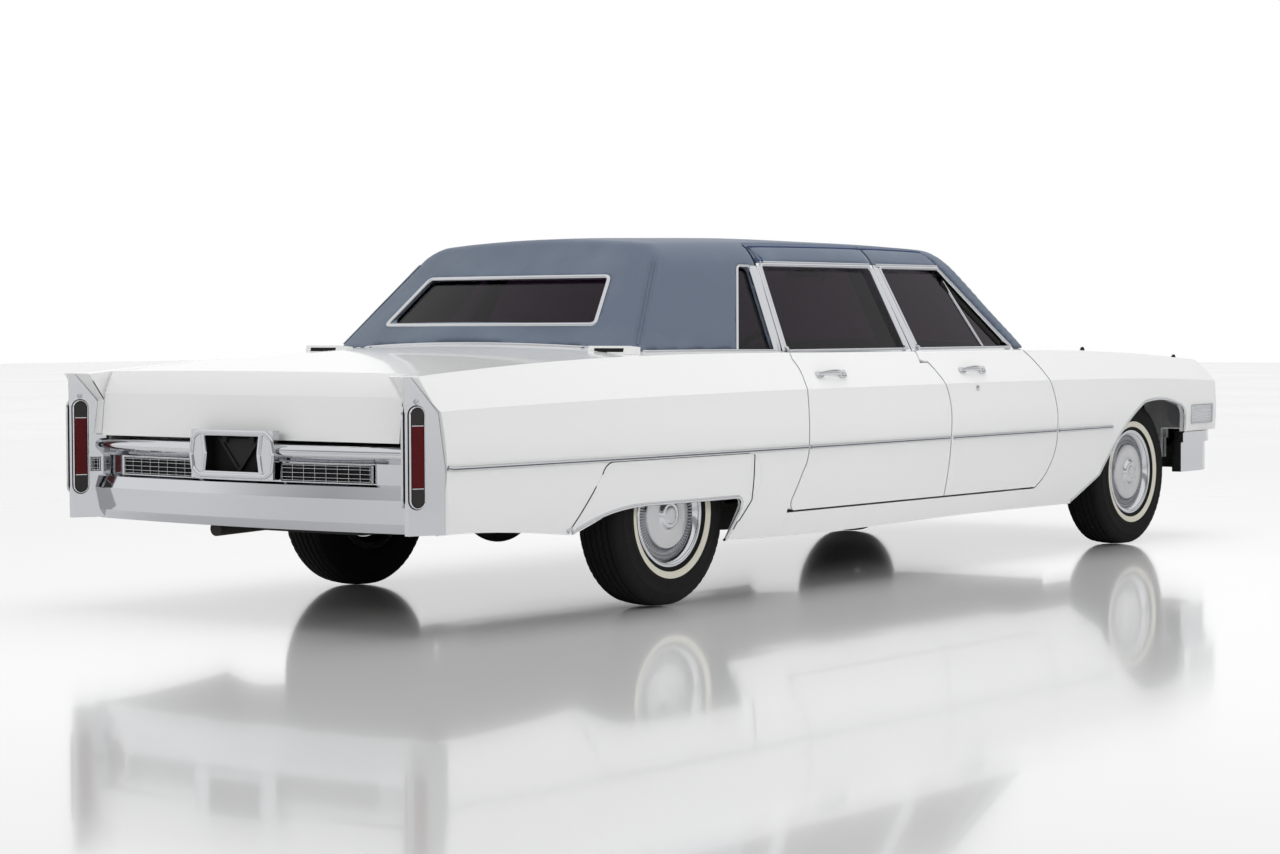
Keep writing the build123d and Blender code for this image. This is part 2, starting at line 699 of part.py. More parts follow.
with BuildPart() as pod:
    with BuildSketch(Plane.XY.offset(POD_Z[0])):
        with BuildLine():
            Polyline(
                (TAIL, -POD_BLADE_Y + 10),
                (TAIL, -POD_BLADE_Y - 10),
                (TAIL + 131, -POD_FRONT_Y[1]),
                (TAIL + 131, -POD_FRONT_Y[0]),
                close=True,
            )
        make_face()
    extrude(amount=POD_Z[1] - POD_Z[0])
    add(side_prism(pod_side, HALF_WIDTH, 700), mode=Mode.INTERSECT)

# Lens rooms on both faces of each pod: corner on the blade, corner at the pod's front
LENS_Z = (470, 817)
LENS_W = 46
LENS_SIT = 10
LENS_OUT = 11
LENS_FACES = [
    ((TAIL, -POD_BLADE_Y - 10), (TAIL + 131, -POD_FRONT_Y[1]), -1),
    ((TAIL, -POD_BLADE_Y + 10), (TAIL + 131, -POD_FRONT_Y[0]), 1),
]


def lens(face, sink, proud, slack):
    """Upright stadium-shaped lens on a pod face, sunk into it and standing proud."""
    (x0, y0), (x1, y1), hand = face
    run = hypot(x1 - x0, y1 - y0)
    along = Vector((x1 - x0) / run, (y1 - y0) / run, 0)
    out = Vector(hand * -along.Y, hand * along.X, 0)
    spot = Vector(x0, y0, sum(LENS_Z) / 2) + along * (LENS_W / 2 + 8) - out * sink
    with BuildPart() as body:
        with BuildSketch(Plane(origin=spot, x_dir=(0, 0, 1), z_dir=out)):
            SlotOverall(LENS_Z[1] - LENS_Z[0] - 2 * slack, LENS_W - 2 * slack)
        extrude(amount=sink + proud)
    return body.part


with BuildPart() as rear_bumper:
    for hand in (-1, 1):
        with BuildSketch(Plane.XZ):
            with BuildLine():
                outline(BAR)
            make_face()
        revolve(axis=Axis((TAIL + BAR_BOW_R, 0, 0), (0, 0, hand)), revolution_arc=BAR_TURN)
    add(pod.part)
    mirror(pod.part, about=Plane.XZ)
    add(block((TAIL + 8, TAIL + 40), (-PLATE[0], PLATE[0]), PLATE[1:]))
    for hand in (-1, 1):
        y = sorted((hand * (RAIL_REAR_Y - 25), hand * (RAIL_REAR_Y + 25)))
        add(block((TAIL + 85, RAIL_END - SEAT_GAP), y, (395, 465)))
    add(block((TAIL, TAIL + 60), (-PLATE_HOLE[0], PLATE_HOLE[0]), PLATE_HOLE[1:]), mode=Mode.SUBTRACT)
    for face in LENS_FACES:
        room = lens(face, LENS_SIT, LENS_OUT + 20, 0)
        add(room, mode=Mode.SUBTRACT)
        mirror(room, about=Plane.XZ, mode=Mode.SUBTRACT)
keep(rear_bumper, "rear_bumper")
with BuildPart() as lenses:
    for face in LENS_FACES:
        add(lens(face, LENS_SIT - SEAT_GAP, LENS_OUT, SEAT_GAP))
twin(lenses.part, "tail_lamps")


def lattice(x, y, z, rows, columns, bar):
    """Egg-crate grille: crossing bars in a box room."""
    with BuildPart() as crate:
        for i in range(rows):
            level = z[0] + bar / 2 + (z[1] - z[0] - bar) * i / (rows - 1)
            add(block(x, y, (level - bar / 2, level + bar / 2)))
        for i in range(columns):
            place = y[0] + bar / 2 + (y[1] - y[0] - bar) * i / (columns - 1)
            add(block(x, (place - bar / 2, place + bar / 2), z))
    return crate.part


GRILLE_HALF = 210
GRILLE_TURN = 4.67
with BuildPart() as rear_grille:
    grille_x = (28 - BAR_BOW_R, 44 - SEAT_GAP - BAR_BOW_R)
    flat = lattice(grille_x, (-GRILLE_HALF, GRILLE_HALF), (541, 609), 4, 12, 4)
    add(Pos(TAIL + BAR_BOW_R, 0, 0) * Rot(0, 0, GRILLE_TURN) * flat)
twin(rear_grille.part, "rear_grilles")
with BuildPart() as grille:
    add(lattice(
        (FENDER_NOSE - 40, FENDER_NOSE - 5),
        (-GRILLE[0] + SEAT_GAP, GRILLE[0] - SEAT_GAP),
        (GRILLE[1] + SEAT_GAP, GRILLE[2] - SEAT_GAP),
        7, 19, 8,
    ))
keep(grille, "grille")

with BuildPart() as headlamp:
    with Locations([Pos(FENDER_NOSE - LAMP_DEPTH / 2 - 4, -LAMP_Y, z) * Rot(0, 90, 0) for z in LAMP_Z]):
        Cylinder(LAMP_R - SEAT_GAP, LAMP_DEPTH)
twin(headlamp.part, "headlamps")

corner_room = block(CORNER[:2], (-HALF_WIDTH, -HALF_WIDTH + CORNER_DEPTH), CORNER[2:])

# Front bumper: a band round the nose in two tiers (z from, z to, set back)
BUMPER_END_X = FRONT + 410
BUMPER_TIERS = [(345, 500, 12), (494, BUMPER_TOP_Z, 0)]
BUMPER_SIDE_Y = 968
BUMPER_WALL = 50
with BuildPart() as front_bumper:
    for low, high, back in BUMPER_TIERS:
        with BuildSketch(Plane.XY.offset(low)):
            with BuildLine():
                side_y = BUMPER_SIDE_Y - back
                nose_x = NOSE - back
                Line((BUMPER_END_X, -side_y), (nose_x - 230, -side_y))
                ThreePointArc(
                    (nose_x - 230, -side_y), (nose_x - 95, -side_y + 70), (nose_x - 40, -side_y + 230)
                )
                ThreePointArc((nose_x - 40, -side_y + 230), (nose_x, 0), (nose_x - 40, side_y - 230))
                ThreePointArc((nose_x - 40, side_y - 230), (nose_x - 95, side_y - 70), (nose_x - 230, side_y))
                Line((nose_x - 230, side_y), (BUMPER_END_X, side_y))
                Line((BUMPER_END_X, side_y), (BUMPER_END_X, side_y - BUMPER_WALL))
                Line((BUMPER_END_X, side_y - BUMPER_WALL), (nose_x - 230, side_y - BUMPER_WALL))
                Line((nose_x - 230, side_y - BUMPER_WALL), (nose_x - 62, side_y - 230))
                Line((nose_x - 62, side_y - 230), (nose_x - 62, 0))
                Line((nose_x - 62, 0), (nose_x - 62, -side_y + 230))
                Line((nose_x - 62, -side_y + 230), (nose_x - 230, -side_y + BUMPER_WALL))
                Line((nose_x - 230, -side_y + BUMPER_WALL), (BUMPER_END_X, -side_y + BUMPER_WALL))
                Line((BUMPER_END_X, -side_y + BUMPER_WALL), (BUMPER_END_X, -side_y))
            make_face()
        extrude(amount=high - low)
    for hand in (-1, 1):
        y = sorted((hand * (RAIL_FRONT_Y - 25), hand * (RAIL_FRONT_Y + 25)))
        add(block((RAIL_NOSE + SEAT_GAP, NOSE - 60), y, (335, 396)))
keep(front_bumper, "front_bumper")

# Frame: two rails that widen under the cabin, and cross members
RAIL_HALF = 45
RAIL_DEPTH = 110
RAIL_PLAN = [
    (RAIL_END, RAIL_REAR_Y),
    (REAR + 520, RAIL_REAR_Y),
    (REAR + 800, 640),
    (FRONT - 1000, 640),
    (FRONT - 600, RAIL_FRONT_Y),
    (RAIL_NOSE, RAIL_FRONT_Y),
]
RAIL_Z = FLOOR_Z - SEAT_GAP - RAIL_DEPTH
KICK_UP = 210
RAIL_SIDE = [
    (TAIL + 160, RAIL_Z + 120),
    (REAR - 480, RAIL_Z + 120),
    (REAR - 330, RAIL_Z + KICK_UP),
    (REAR + 260, RAIL_Z + KICK_UP),
    (REAR + 520, RAIL_Z),
    (FRONT - 560, RAIL_Z),
    (FRONT - 420, RAIL_Z + 80),
    (FRONT + 705, RAIL_Z + 80),
]
rail_loop = RAIL_SIDE + [(x, z + RAIL_DEPTH) for x, z in reversed(RAIL_SIDE)]
with BuildPart() as rail:
    with BuildSketch(Plane.XY):
        with BuildLine():
            Polyline(
                *[(x, -y - RAIL_HALF) for x, y in RAIL_PLAN],
                *[(x, -y + RAIL_HALF) for x, y in reversed(RAIL_PLAN)],
                close=True,
            )
        make_face()
    extrude(amount=HEIGHT)
    add(side_prism(rail_loop, HALF_WIDTH, 0), mode=Mode.INTERSECT)
# x, width, distance of the rails, z, depth
CROSS_MEMBERS = [
    (TAIL + 165, 70, 520, RAIL_Z + 130, 80),
    (REAR - 300, 80, 520, RAIL_Z + 255, 55),
    (FRONT - 1140, 90, 640, RAIL_Z + 55, 45),
    (FRONT - 60, 120, 400, RAIL_Z - 45, 130),
    (FRONT + 610, 80, 400, RAIL_Z + 90, 90),
]
with BuildPart() as frame_rails:
    add(rail.part)
    mirror(rail.part, about=Plane.XZ)
    for x, width, rail_y, z, depth in CROSS_MEMBERS:
        half = rail_y - RAIL_HALF - SEAT_GAP
        add(block((x, x + width), (-half, half), (z, z + depth)))
keep(frame_rails, "frame_rails")

# Floor: toe board, flat floor, rise over the axle, trunk floor, tail panel
TRUNK_Z = FLOOR_Z + 120
TAIL_WALL_X = TAIL + 150
TAIL_WALL_Z = 676
FLOOR_SIDE = [
    (FIREWALL_X - 8, FLOOR_Z + 180),
    (FIREWALL_X - 170, FLOOR_Z),
    (REAR + 520, FLOOR_Z),
    (REAR + 260, FLOOR_Z + KICK_UP),
    (REAR - 330, FLOOR_Z + KICK_UP),
    (REAR - 480, TRUNK_Z),
    (TAIL_WALL_X, TRUNK_Z),
    (TAIL_WALL_X, TAIL_WALL_Z),
]
TRUNK_SEAM = REAR - 200
TUB_Y = 600
TUB_R = 452
TUB_WALL = 12
floor_loop = FLOOR_SIDE + [(TAIL_WALL_X + FLOOR, TAIL_WALL_Z), (TAIL_WALL_X + FLOOR, TRUNK_Z + FLOOR)]
floor_loop += [(x, z + FLOOR) for x, z in reversed(FLOOR_SIDE[:-2])]
with BuildPart() as floor_pan:
    add(side_prism(floor_loop, ROCKER_Y - SEAT_GAP, -ROCKER_Y + SEAT_GAP))
    for hand in (-1, 1):
        y = sorted((hand * (TUB_Y - SEAT_GAP), hand * HALF_WIDTH))
        add(block((REAR - TUB_R - 5, REAR + TUB_R + 5), y, (0, HEIGHT)), mode=Mode.SUBTRACT)
    tunnel_x = (REAR + 280, FIREWALL_X - SEAT_GAP)
    add(block(tunnel_x, (-TUNNEL_R, TUNNEL_R), (FLOOR_Z + 1, FLOOR_Z + TUNNEL_R + FLOOR)))
    shaft_x = (tunnel_x[0] - 180, tunnel_x[1] + 5)
    shaft_half = TUNNEL_R - FLOOR
    add(block(shaft_x, (-shaft_half, shaft_half), (0, FLOOR_Z + TUNNEL_R)), mode=Mode.SUBTRACT)
    # the trunk floor is a pressing of its own behind the cabin floor
    add(block((TRUNK_SEAM, TRUNK_SEAM + SEAT_GAP), (-WIDE_Y, WIDE_Y), (0, HEIGHT)), mode=Mode.SUBTRACT)
keep(floor_pan, "floor_pan")

# Wheel houses: round tubs at the rear, shelves at the front
with BuildPart() as tub:
    with Locations(Pos(REAR, -TUB_Y, TYRE_R) * Rot(90, 0, 0)):
        Cylinder(TUB_R, 330, align=(Align.CENTER, Align.CENTER, Align.MIN))
    with Locations(Pos(REAR, -TUB_Y - TUB_WALL, TYRE_R) * Rot(90, 0, 0)):
        Cylinder(TUB_R - TUB_WALL, 330, align=(Align.CENTER, Align.CENTER, Align.MIN), mode=Mode.SUBTRACT)
    add(block((REAR - 500, REAR + 500), (-HALF_WIDTH, 0), (-TYRE_R, TYRE_R + 60)), mode=Mode.SUBTRACT)
    add(Pos(0, SEAT_GAP, 0) * rail.part, mode=Mode.SUBTRACT)
with BuildPart() as shelf:
    shelf_x = (FIREWALL_X + FIREWALL + SEAT_GAP, FENDER_NOSE - 150)
    add(block(shelf_x, (-467, -455), (560, 800)))
    add(block(shelf_x, (-900, -455), (788, 800)))
with BuildPart() as houses:
    add(tub.part)
    add(shelf.part)
twin(houses.part, "wheel_houses")

# Engine with gearbox, as one plain block at its place
ENGINE_X = (FRONT - 730, FRONT + 180)
ENGINE_Z = (400, 880)
GEARBOX_X = FRONT - 1500
with BuildPart() as engine:
    add(block(ENGINE_X, (-310, 310), ENGINE_Z))
    add(block((GEARBOX_X, ENGINE_X[0] + 1), (-150, 150), (355, 540)))
keep(engine, "engine")

# Rear axle, propeller shaft
PLATE_IN = 57
BACKING_R = 112
STUB_OUT = 49
with BuildPart() as rear_axle:
    with Locations(Pos(REAR, 0, TYRE_R) * Rot(90, 0, 0)):
        Cylinder(STUB_R, 2 * (WHEEL_Y + STUB_OUT))
        Cylinder(42, 2 * (WHEEL_Y - PLATE_IN - 10))
    with Locations([Pos(REAR, hand * (WHEEL_Y - PLATE_IN - 6), TYRE_R) * Rot(90, 0, 0) for hand in (-1, 1)]):
        Cylinder(BACKING_R, 12)
    with Locations((REAR, 0, TYRE_R)):
        Sphere(145)
    with Locations(Pos(REAR, 0, TYRE_R) * Rot(0, 90, 0)):
        Cylinder(45, GEARBOX_X - SEAT_GAP - REAR, align=(Align.CENTER, Align.CENTER, Align.MIN))
    for hand in (-1, 1):
        y = sorted((hand * 500, hand * 540))
        add(block((REAR - 40, REAR + 40), y, (TYRE_R, RAIL_Z + KICK_UP - SEAT_GAP)))
keep(rear_axle, "rear_axle")

# Front suspension: upper and lower arms, fixed
KINGPIN_Y = WHEEL_Y - KINGPIN_IN
POST_Z = (TYRE_R - 120, TYRE_R + 140)
ARM = 26
TOWER_Y = RAIL_FRONT_Y + RAIL_HALF
with BuildPart() as arms:
    for low in (POST_Z[0] - SEAT_GAP - ARM, POST_Z[1] + SEAT_GAP):
        with BuildSketch(Plane.XY.offset(low)):
            with BuildLine():
                Polyline(
                    (FRONT - 28, -KINGPIN_Y - 28),
                    (FRONT + 28, -KINGPIN_Y - 28),
                    (FRONT + 140, -TOWER_Y - SEAT_GAP),
                    (FRONT - 140, -TOWER_Y - SEAT_GAP),
                    close=True,
                )
            make_face()
        extrude(amount=ARM)
    tower_z = (POST_Z[0] - ARM - SEAT_GAP, POST_Z[1] + SEAT_GAP + ARM)
    add(block((FRONT - 100, FRONT + 100), (-TOWER_Y - 40, -TOWER_Y - SEAT_GAP), tower_z))
twin(arms.part, "front_suspension")

# Fuel tank and exhaust
TANK = ((TAIL + 240, REAR - 640), (-400, 100), (335, TRUNK_Z - SEAT_GAP))
with BuildPart() as fuel_tank:
    add(block(*TANK))
    fillet(fuel_tank.edges().filter_by(Axis.Y), 40)
keep(fuel_tank, "fuel_tank")
PIPE_R = 27
EXHAUST = [
    (FRONT - 500, 230, ENGINE_Z[0] - SEAT_GAP),
    (FRONT - 500, 230, 265),
    (FRONT - 900, 330, 265),
    (REAR + 470, 330, 265),
    (REAR + 230, 330, 470),
    (REAR - 330, 330, 470),
    (REAR - 600, 250, 360),
    (TAIL + 105, 188, 346),
]
with BuildPart() as exhaust:
    with BuildLine() as pipe_run:
        FilletPolyline(*EXHAUST, radius=60)
    with BuildSketch(Plane(pipe_run.line @ 0, z_dir=pipe_run.line % 0)):
        Circle(PIPE_R)
    sweep(path=pipe_run.line)
    with Locations(Pos(REAR + 1300, 330, 275) * Rot(0, 90, 0)):
        Cylinder(80, 600)
keep(exhaust, "exhaust")

# Cabin: posts between the doors, dashboard, steering wheel, benches
BENCH_Z = FLOOR_Z + FLOOR + SEAT_GAP
POST_OUT = DOOR_INNER_Y - 35
POST_IN = POST_OUT - 60
POST = [
    (POST_OUT, BENCH_Z),
    (POST_OUT, BELT_Z - 20),
    (640, FRAME_TOP),
    (570, FRAME_TOP + 70),
    (520, FRAME_TOP + 70),
    (575, FRAME_TOP),
    (POST_IN, BELT_Z - 20),
    (POST_IN, BENCH_Z),
]
POST_X = (DOOR_SPLIT - 190, DOOR_SPLIT - 110)
with BuildPart() as post:
    with BuildSketch(Plane.YZ.offset(POST_X[0])):
        with BuildLine():
            Polyline(*[(-y, z) for y, z in POST], close=True)
        make_face()
    extrude(amount=POST_X[1] - POST_X[0])
    add(Pos(0, 0, -SEAT_GAP) * house_core, mode=Mode.INTERSECT)
with BuildPart() as post_low:
    add(block(POST_X, (-ROCKER_Y + SEAT_GAP, -ROCKER_Y + 50), (BENCH_Z, BELT_Z)))
    add(post.part)
twin(post_low.part, "door_posts")

DASH = [
    (FIREWALL_X - SEAT_GAP, 720),
    (FIREWALL_X - SEAT_GAP, 930),
    (FIREWALL_X - 230, 930),
    (FIREWALL_X - 290, 880),
    (FIREWALL_X - 230, 720),
]
DASH_HALF = 770
with BuildPart() as dashboard:
    add(side_prism(DASH, DASH_HALF, -DASH_HALF))
keep(dashboard, "dashboard")

WHEEL_HUB = (FIREWALL_X - 520, 380, 880)
COLUMN_DIR = (0.9, 0, -0.35)
STEER_R = 195
with BuildPart() as steering_wheel:
    with BuildSketch(Plane(origin=WHEEL_HUB, x_dir=(0, 1, 0), z_dir=COLUMN_DIR)):
        Circle(28)
    extrude(amount=420)
    with BuildSketch(Plane(origin=WHEEL_HUB, x_dir=(0, 1, 0), z_dir=COLUMN_DIR)):
        Circle(60)
        Rectangle(2 * STEER_R, 36)
    extrude(amount=18)
    with Locations(Plane(origin=WHEEL_HUB, x_dir=(0, 1, 0), z_dir=COLUMN_DIR).location):
        Torus(STEER_R, 14)
    add(dashboard.part, mode=Mode.SUBTRACT)
with BuildPart() as steering_one:
    add(steering_wheel.part.solids().sort_by(SortBy.VOLUME)[-1])
keep(steering_one, "steering_wheel")

# Benches: rear foot of the backrest along the car, half-width
BENCHES = {"front_bench": (REAR + 1800, 690), "rear_bench": (REAR + 640, 690)}
for name, (x, half) in BENCHES.items():
    with BuildPart() as bench:
        add(side_prism([
            (x, BENCH_Z),
            (x + 560, BENCH_Z),
            (x + 600, BENCH_Z + 240),
            (x + 170, BENCH_Z + 220),
            (x + 60, BENCH_Z + 600),
            (x - 60, BENCH_Z + 600),
        ], half, -half))
        fillet(bench.edges().filter_by(Axis.Y).group_by(Axis.Z)[-1], 40)
        fillet(bench.edges().filter_by(Axis.Y).sort_by(Axis.X)[-1], 40)
        hump_y = TUNNEL_R + SEAT_GAP
        add(block((x - 400, x + 900), (-hump_y, hump_y), (0, BENCH_Z + TUNNEL_R)), mode=Mode.SUBTRACT)
    keep(bench, name)

# Tyre and wheel, turned about the axle; outboard is the positive side of the profile
TREAD_HALF = 76
TYRE = [
    (-RIM_HALF, BEAD_R + SEAT_GAP),
    (RIM_HALF, BEAD_R + SEAT_GAP),
    (RIM_HALF, FLANGE_R + SEAT_GAP),
    (92, FLANGE_R + 4),
    (TYRE_HALF, 285, 105, 245),
    (TREAD_HALF, TYRE_R - 5, 100, 336),
    (-TREAD_HALF, TYRE_R - 5, 0, TYRE_R),
    (-TYRE_HALF, 285, -100, 336),
    (-92, FLANGE_R + 4, -105, 245),
    (-RIM_HALF, FLANGE_R + SEAT_GAP),
]
WHEEL = [
    (STUB_OUT + 1, 0),
    (STUB_OUT + 1, STUB_R + RUNNING),
    (20, STUB_R + RUNNING),
    (20, DRUM_R - 30),
    (-50, DRUM_R - 30),
    (-50, DRUM_R),
    (8, DRUM_R),
    (8, BEAD_R - 12),
    (-RIM_HALF - 3, BEAD_R - 12),
    (-RIM_HALF - 8, FLANGE_R),
    (-RIM_HALF - SEAT_GAP, FLANGE_R),
    (-RIM_HALF - SEAT_GAP, BEAD_R),
    (RIM_HALF + SEAT_GAP, BEAD_R),
    (RIM_HALF + SEAT_GAP, FLANGE_R),
    (RIM_HALF + 8, FLANGE_R),
    (RIM_HALF + 8, BEAD_R + 2),
    (RIM_HALF - 22, 172, RIM_HALF - 2, 180),
    (RIM_HALF - 18, 140),
    (RIM_HALF - 4, 132),
    (RIM_HALF - 2, 62),
    (RIM_HALF + 10, 50),
    (RIM_HALF + 14, 34),
    (RIM_HALF + 14, 0),
]


def turned(profile):
    """Solid turned about the Y axis from (y, radius) points."""
    with BuildPart() as body:
        with BuildSketch(Plane.YZ):
            with BuildLine():
                outline(profile)
            make_face()
        revolve(axis=Axis.Y)
    return body.part


tyre_left = turned(TYRE)
wheel_left = turned(WHEEL)
for end, x in (("front", FRONT), ("rear", REAR)):
    sides(mirror(Pos(x, WHEEL_Y, TYRE_R) * tyre_left, about=Plane.XZ), f"tyre_{end}")
    sides(mirror(Pos(x, WHEEL_Y, TYRE_R) * wheel_left, about=Plane.XZ), f"wheel_{end}")

# Knuckle: post on the steering axis, stub axle, backing plate, steering arm
with BuildPart() as knuckle:
    with Locations(Pos(FRONT, -WHEEL_Y - STUB_OUT, TYRE_R) * Rot(-90, 0, 0)):
        Cylinder(STUB_R, STUB_OUT + KINGPIN_IN, align=(Align.CENTER, Align.CENTER, Align.MIN))
    with Locations(Pos(FRONT, -WHEEL_Y + PLATE_IN + 6, TYRE_R) * Rot(90, 0, 0)):
        Cylinder(BACKING_R, 12)
    with Locations((FRONT, -KINGPIN_Y, POST_Z[0])):
        Cylinder(24, POST_Z[1] - POST_Z[0], align=(Align.CENTER, Align.CENTER, Align.MIN))
    add(block((FRONT - 150, FRONT), (-KINGPIN_Y + 10, -KINGPIN_Y + 34), (TYRE_R - 70, TYRE_R - 40)))
sides(knuckle.part, "knuckle")

# Cornering lamps and door handles are cut to the body's own curve
with BuildPart() as corner:
    add(hull)
    add(hull_core, mode=Mode.SUBTRACT)
    add(corner_room, mode=Mode.INTERSECT)
HANDLES = {"front": DOOR_SPLIT + 130, "rear": DOOR_BACK + 110}
HANDLE_Z = 893
HANDLE = 190
HANDLE_HALF = 14
HANDLE_PROUD = 14
with BuildPart() as handle_rail:
    add(Pos(0, -HANDLE_PROUD, 0) * hull)
    add(Pos(0, -SEAT_GAP, 0) * hull, mode=Mode.SUBTRACT)
for name, x in HANDLES.items():
    with BuildPart() as handle:
        add(handle_rail.part)
        handle_z = (HANDLE_Z - HANDLE_HALF, HANDLE_Z + HANDLE_HALF)
        add(block((x, x + HANDLE), (-WIDE_Y - 10, -HALF_WIDTH + 100), handle_z), mode=Mode.INTERSECT)
    sides(handle.part, f"door_{name}_handle")
twin(corner.part, "cornering_lamps")
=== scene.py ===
"""Dress the limousine: paint, padded cloth top, bright trim, lamps, wheels, cabin and studio."""

import json
import logging
import math
from dataclasses import dataclass
from enum import Enum
from typing import Any, Callable, Sequence, Union

import bmesh
import bpy
from mathutils import Matrix, Vector
from mathutils.bvhtree import BVHTree


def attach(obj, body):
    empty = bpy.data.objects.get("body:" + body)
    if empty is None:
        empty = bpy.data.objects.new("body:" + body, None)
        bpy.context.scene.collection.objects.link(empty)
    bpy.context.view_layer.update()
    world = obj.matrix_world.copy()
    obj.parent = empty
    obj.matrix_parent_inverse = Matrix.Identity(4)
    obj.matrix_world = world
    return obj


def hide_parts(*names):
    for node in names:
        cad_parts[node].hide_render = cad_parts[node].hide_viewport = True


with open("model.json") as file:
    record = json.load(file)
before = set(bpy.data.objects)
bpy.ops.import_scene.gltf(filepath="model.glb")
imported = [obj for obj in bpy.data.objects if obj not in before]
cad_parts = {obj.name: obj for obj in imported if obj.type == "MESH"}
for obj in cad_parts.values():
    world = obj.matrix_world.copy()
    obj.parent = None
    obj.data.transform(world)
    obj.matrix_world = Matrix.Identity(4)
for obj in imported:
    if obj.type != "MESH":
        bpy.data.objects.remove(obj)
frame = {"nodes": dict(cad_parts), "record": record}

LOG = logging.getLogger("limousine")
Number = Union[int, float]
Point = tuple[float, float]
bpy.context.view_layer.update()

HUB_Z = 0.362
WHEEL_Y = 0.794
BELT_Z = 0.981


class Side(Enum):
    """Which side of the car a piece is on; the value is the sign of y."""

    RIGHT = -1
    LEFT = 1

    @property
    def word(self) -> str:
        """Name of the side as the nodes spell it."""
        return self.name.lower()


class Sock:
    """A shader socket that takes part in Python arithmetic."""

    def __init__(self, sheet: "Sheet", socket: bpy.types.NodeSocket) -> None:
        """Wrap one output socket of a sheet."""
        self.sheet = sheet
        self.socket = socket

    def _math(self, operation: str, first: Any, second: Any = 0.0) -> "Sock":
        """Add a Math node.

        Args:
            operation: The node's operation.
            first: Left value or socket.
            second: Right value or socket.

        Returns:
            The node's result.
        """
        return self.sheet.node("ShaderNodeMath", {"operation": operation}, {0: first, 1: second})

    def __add__(self, other: Any) -> "Sock":
        """Sum."""
        return self._math("ADD", self, other)

    __radd__ = __add__

    def __sub__(self, other: Any) -> "Sock":
        """Difference."""
        return self._math("SUBTRACT", self, other)

    def __rsub__(self, other: Any) -> "Sock":
        """Reflected difference, so that 1 - mask works."""
        return self._math("SUBTRACT", other, self)

    def __mul__(self, other: Any) -> "Sock":
        """Product."""
        return self._math("MULTIPLY", self, other)

    __rmul__ = __mul__

    def __truediv__(self, other: Any) -> "Sock":
        """Quotient."""
        return self._math("DIVIDE", self, other)

    def __gt__(self, other: Any) -> "Sock":
        """1 where this is more than other, else 0."""
        return self._math("GREATER_THAN", self, other)

    def __lt__(self, other: Any) -> "Sock":
        """1 where this is less than other, else 0."""
        return self._math("LESS_THAN", self, other)

    def sine(self) -> "Sock":
        """Sine of the value."""
        return self._math("SINE", self)

    def size(self) -> "Sock":
        """Absolute value."""
        return self._math("ABSOLUTE", self)

    def most(self, other: Any) -> "Sock":
        """The larger of this and other."""
        return self._math("MAXIMUM", self, other)


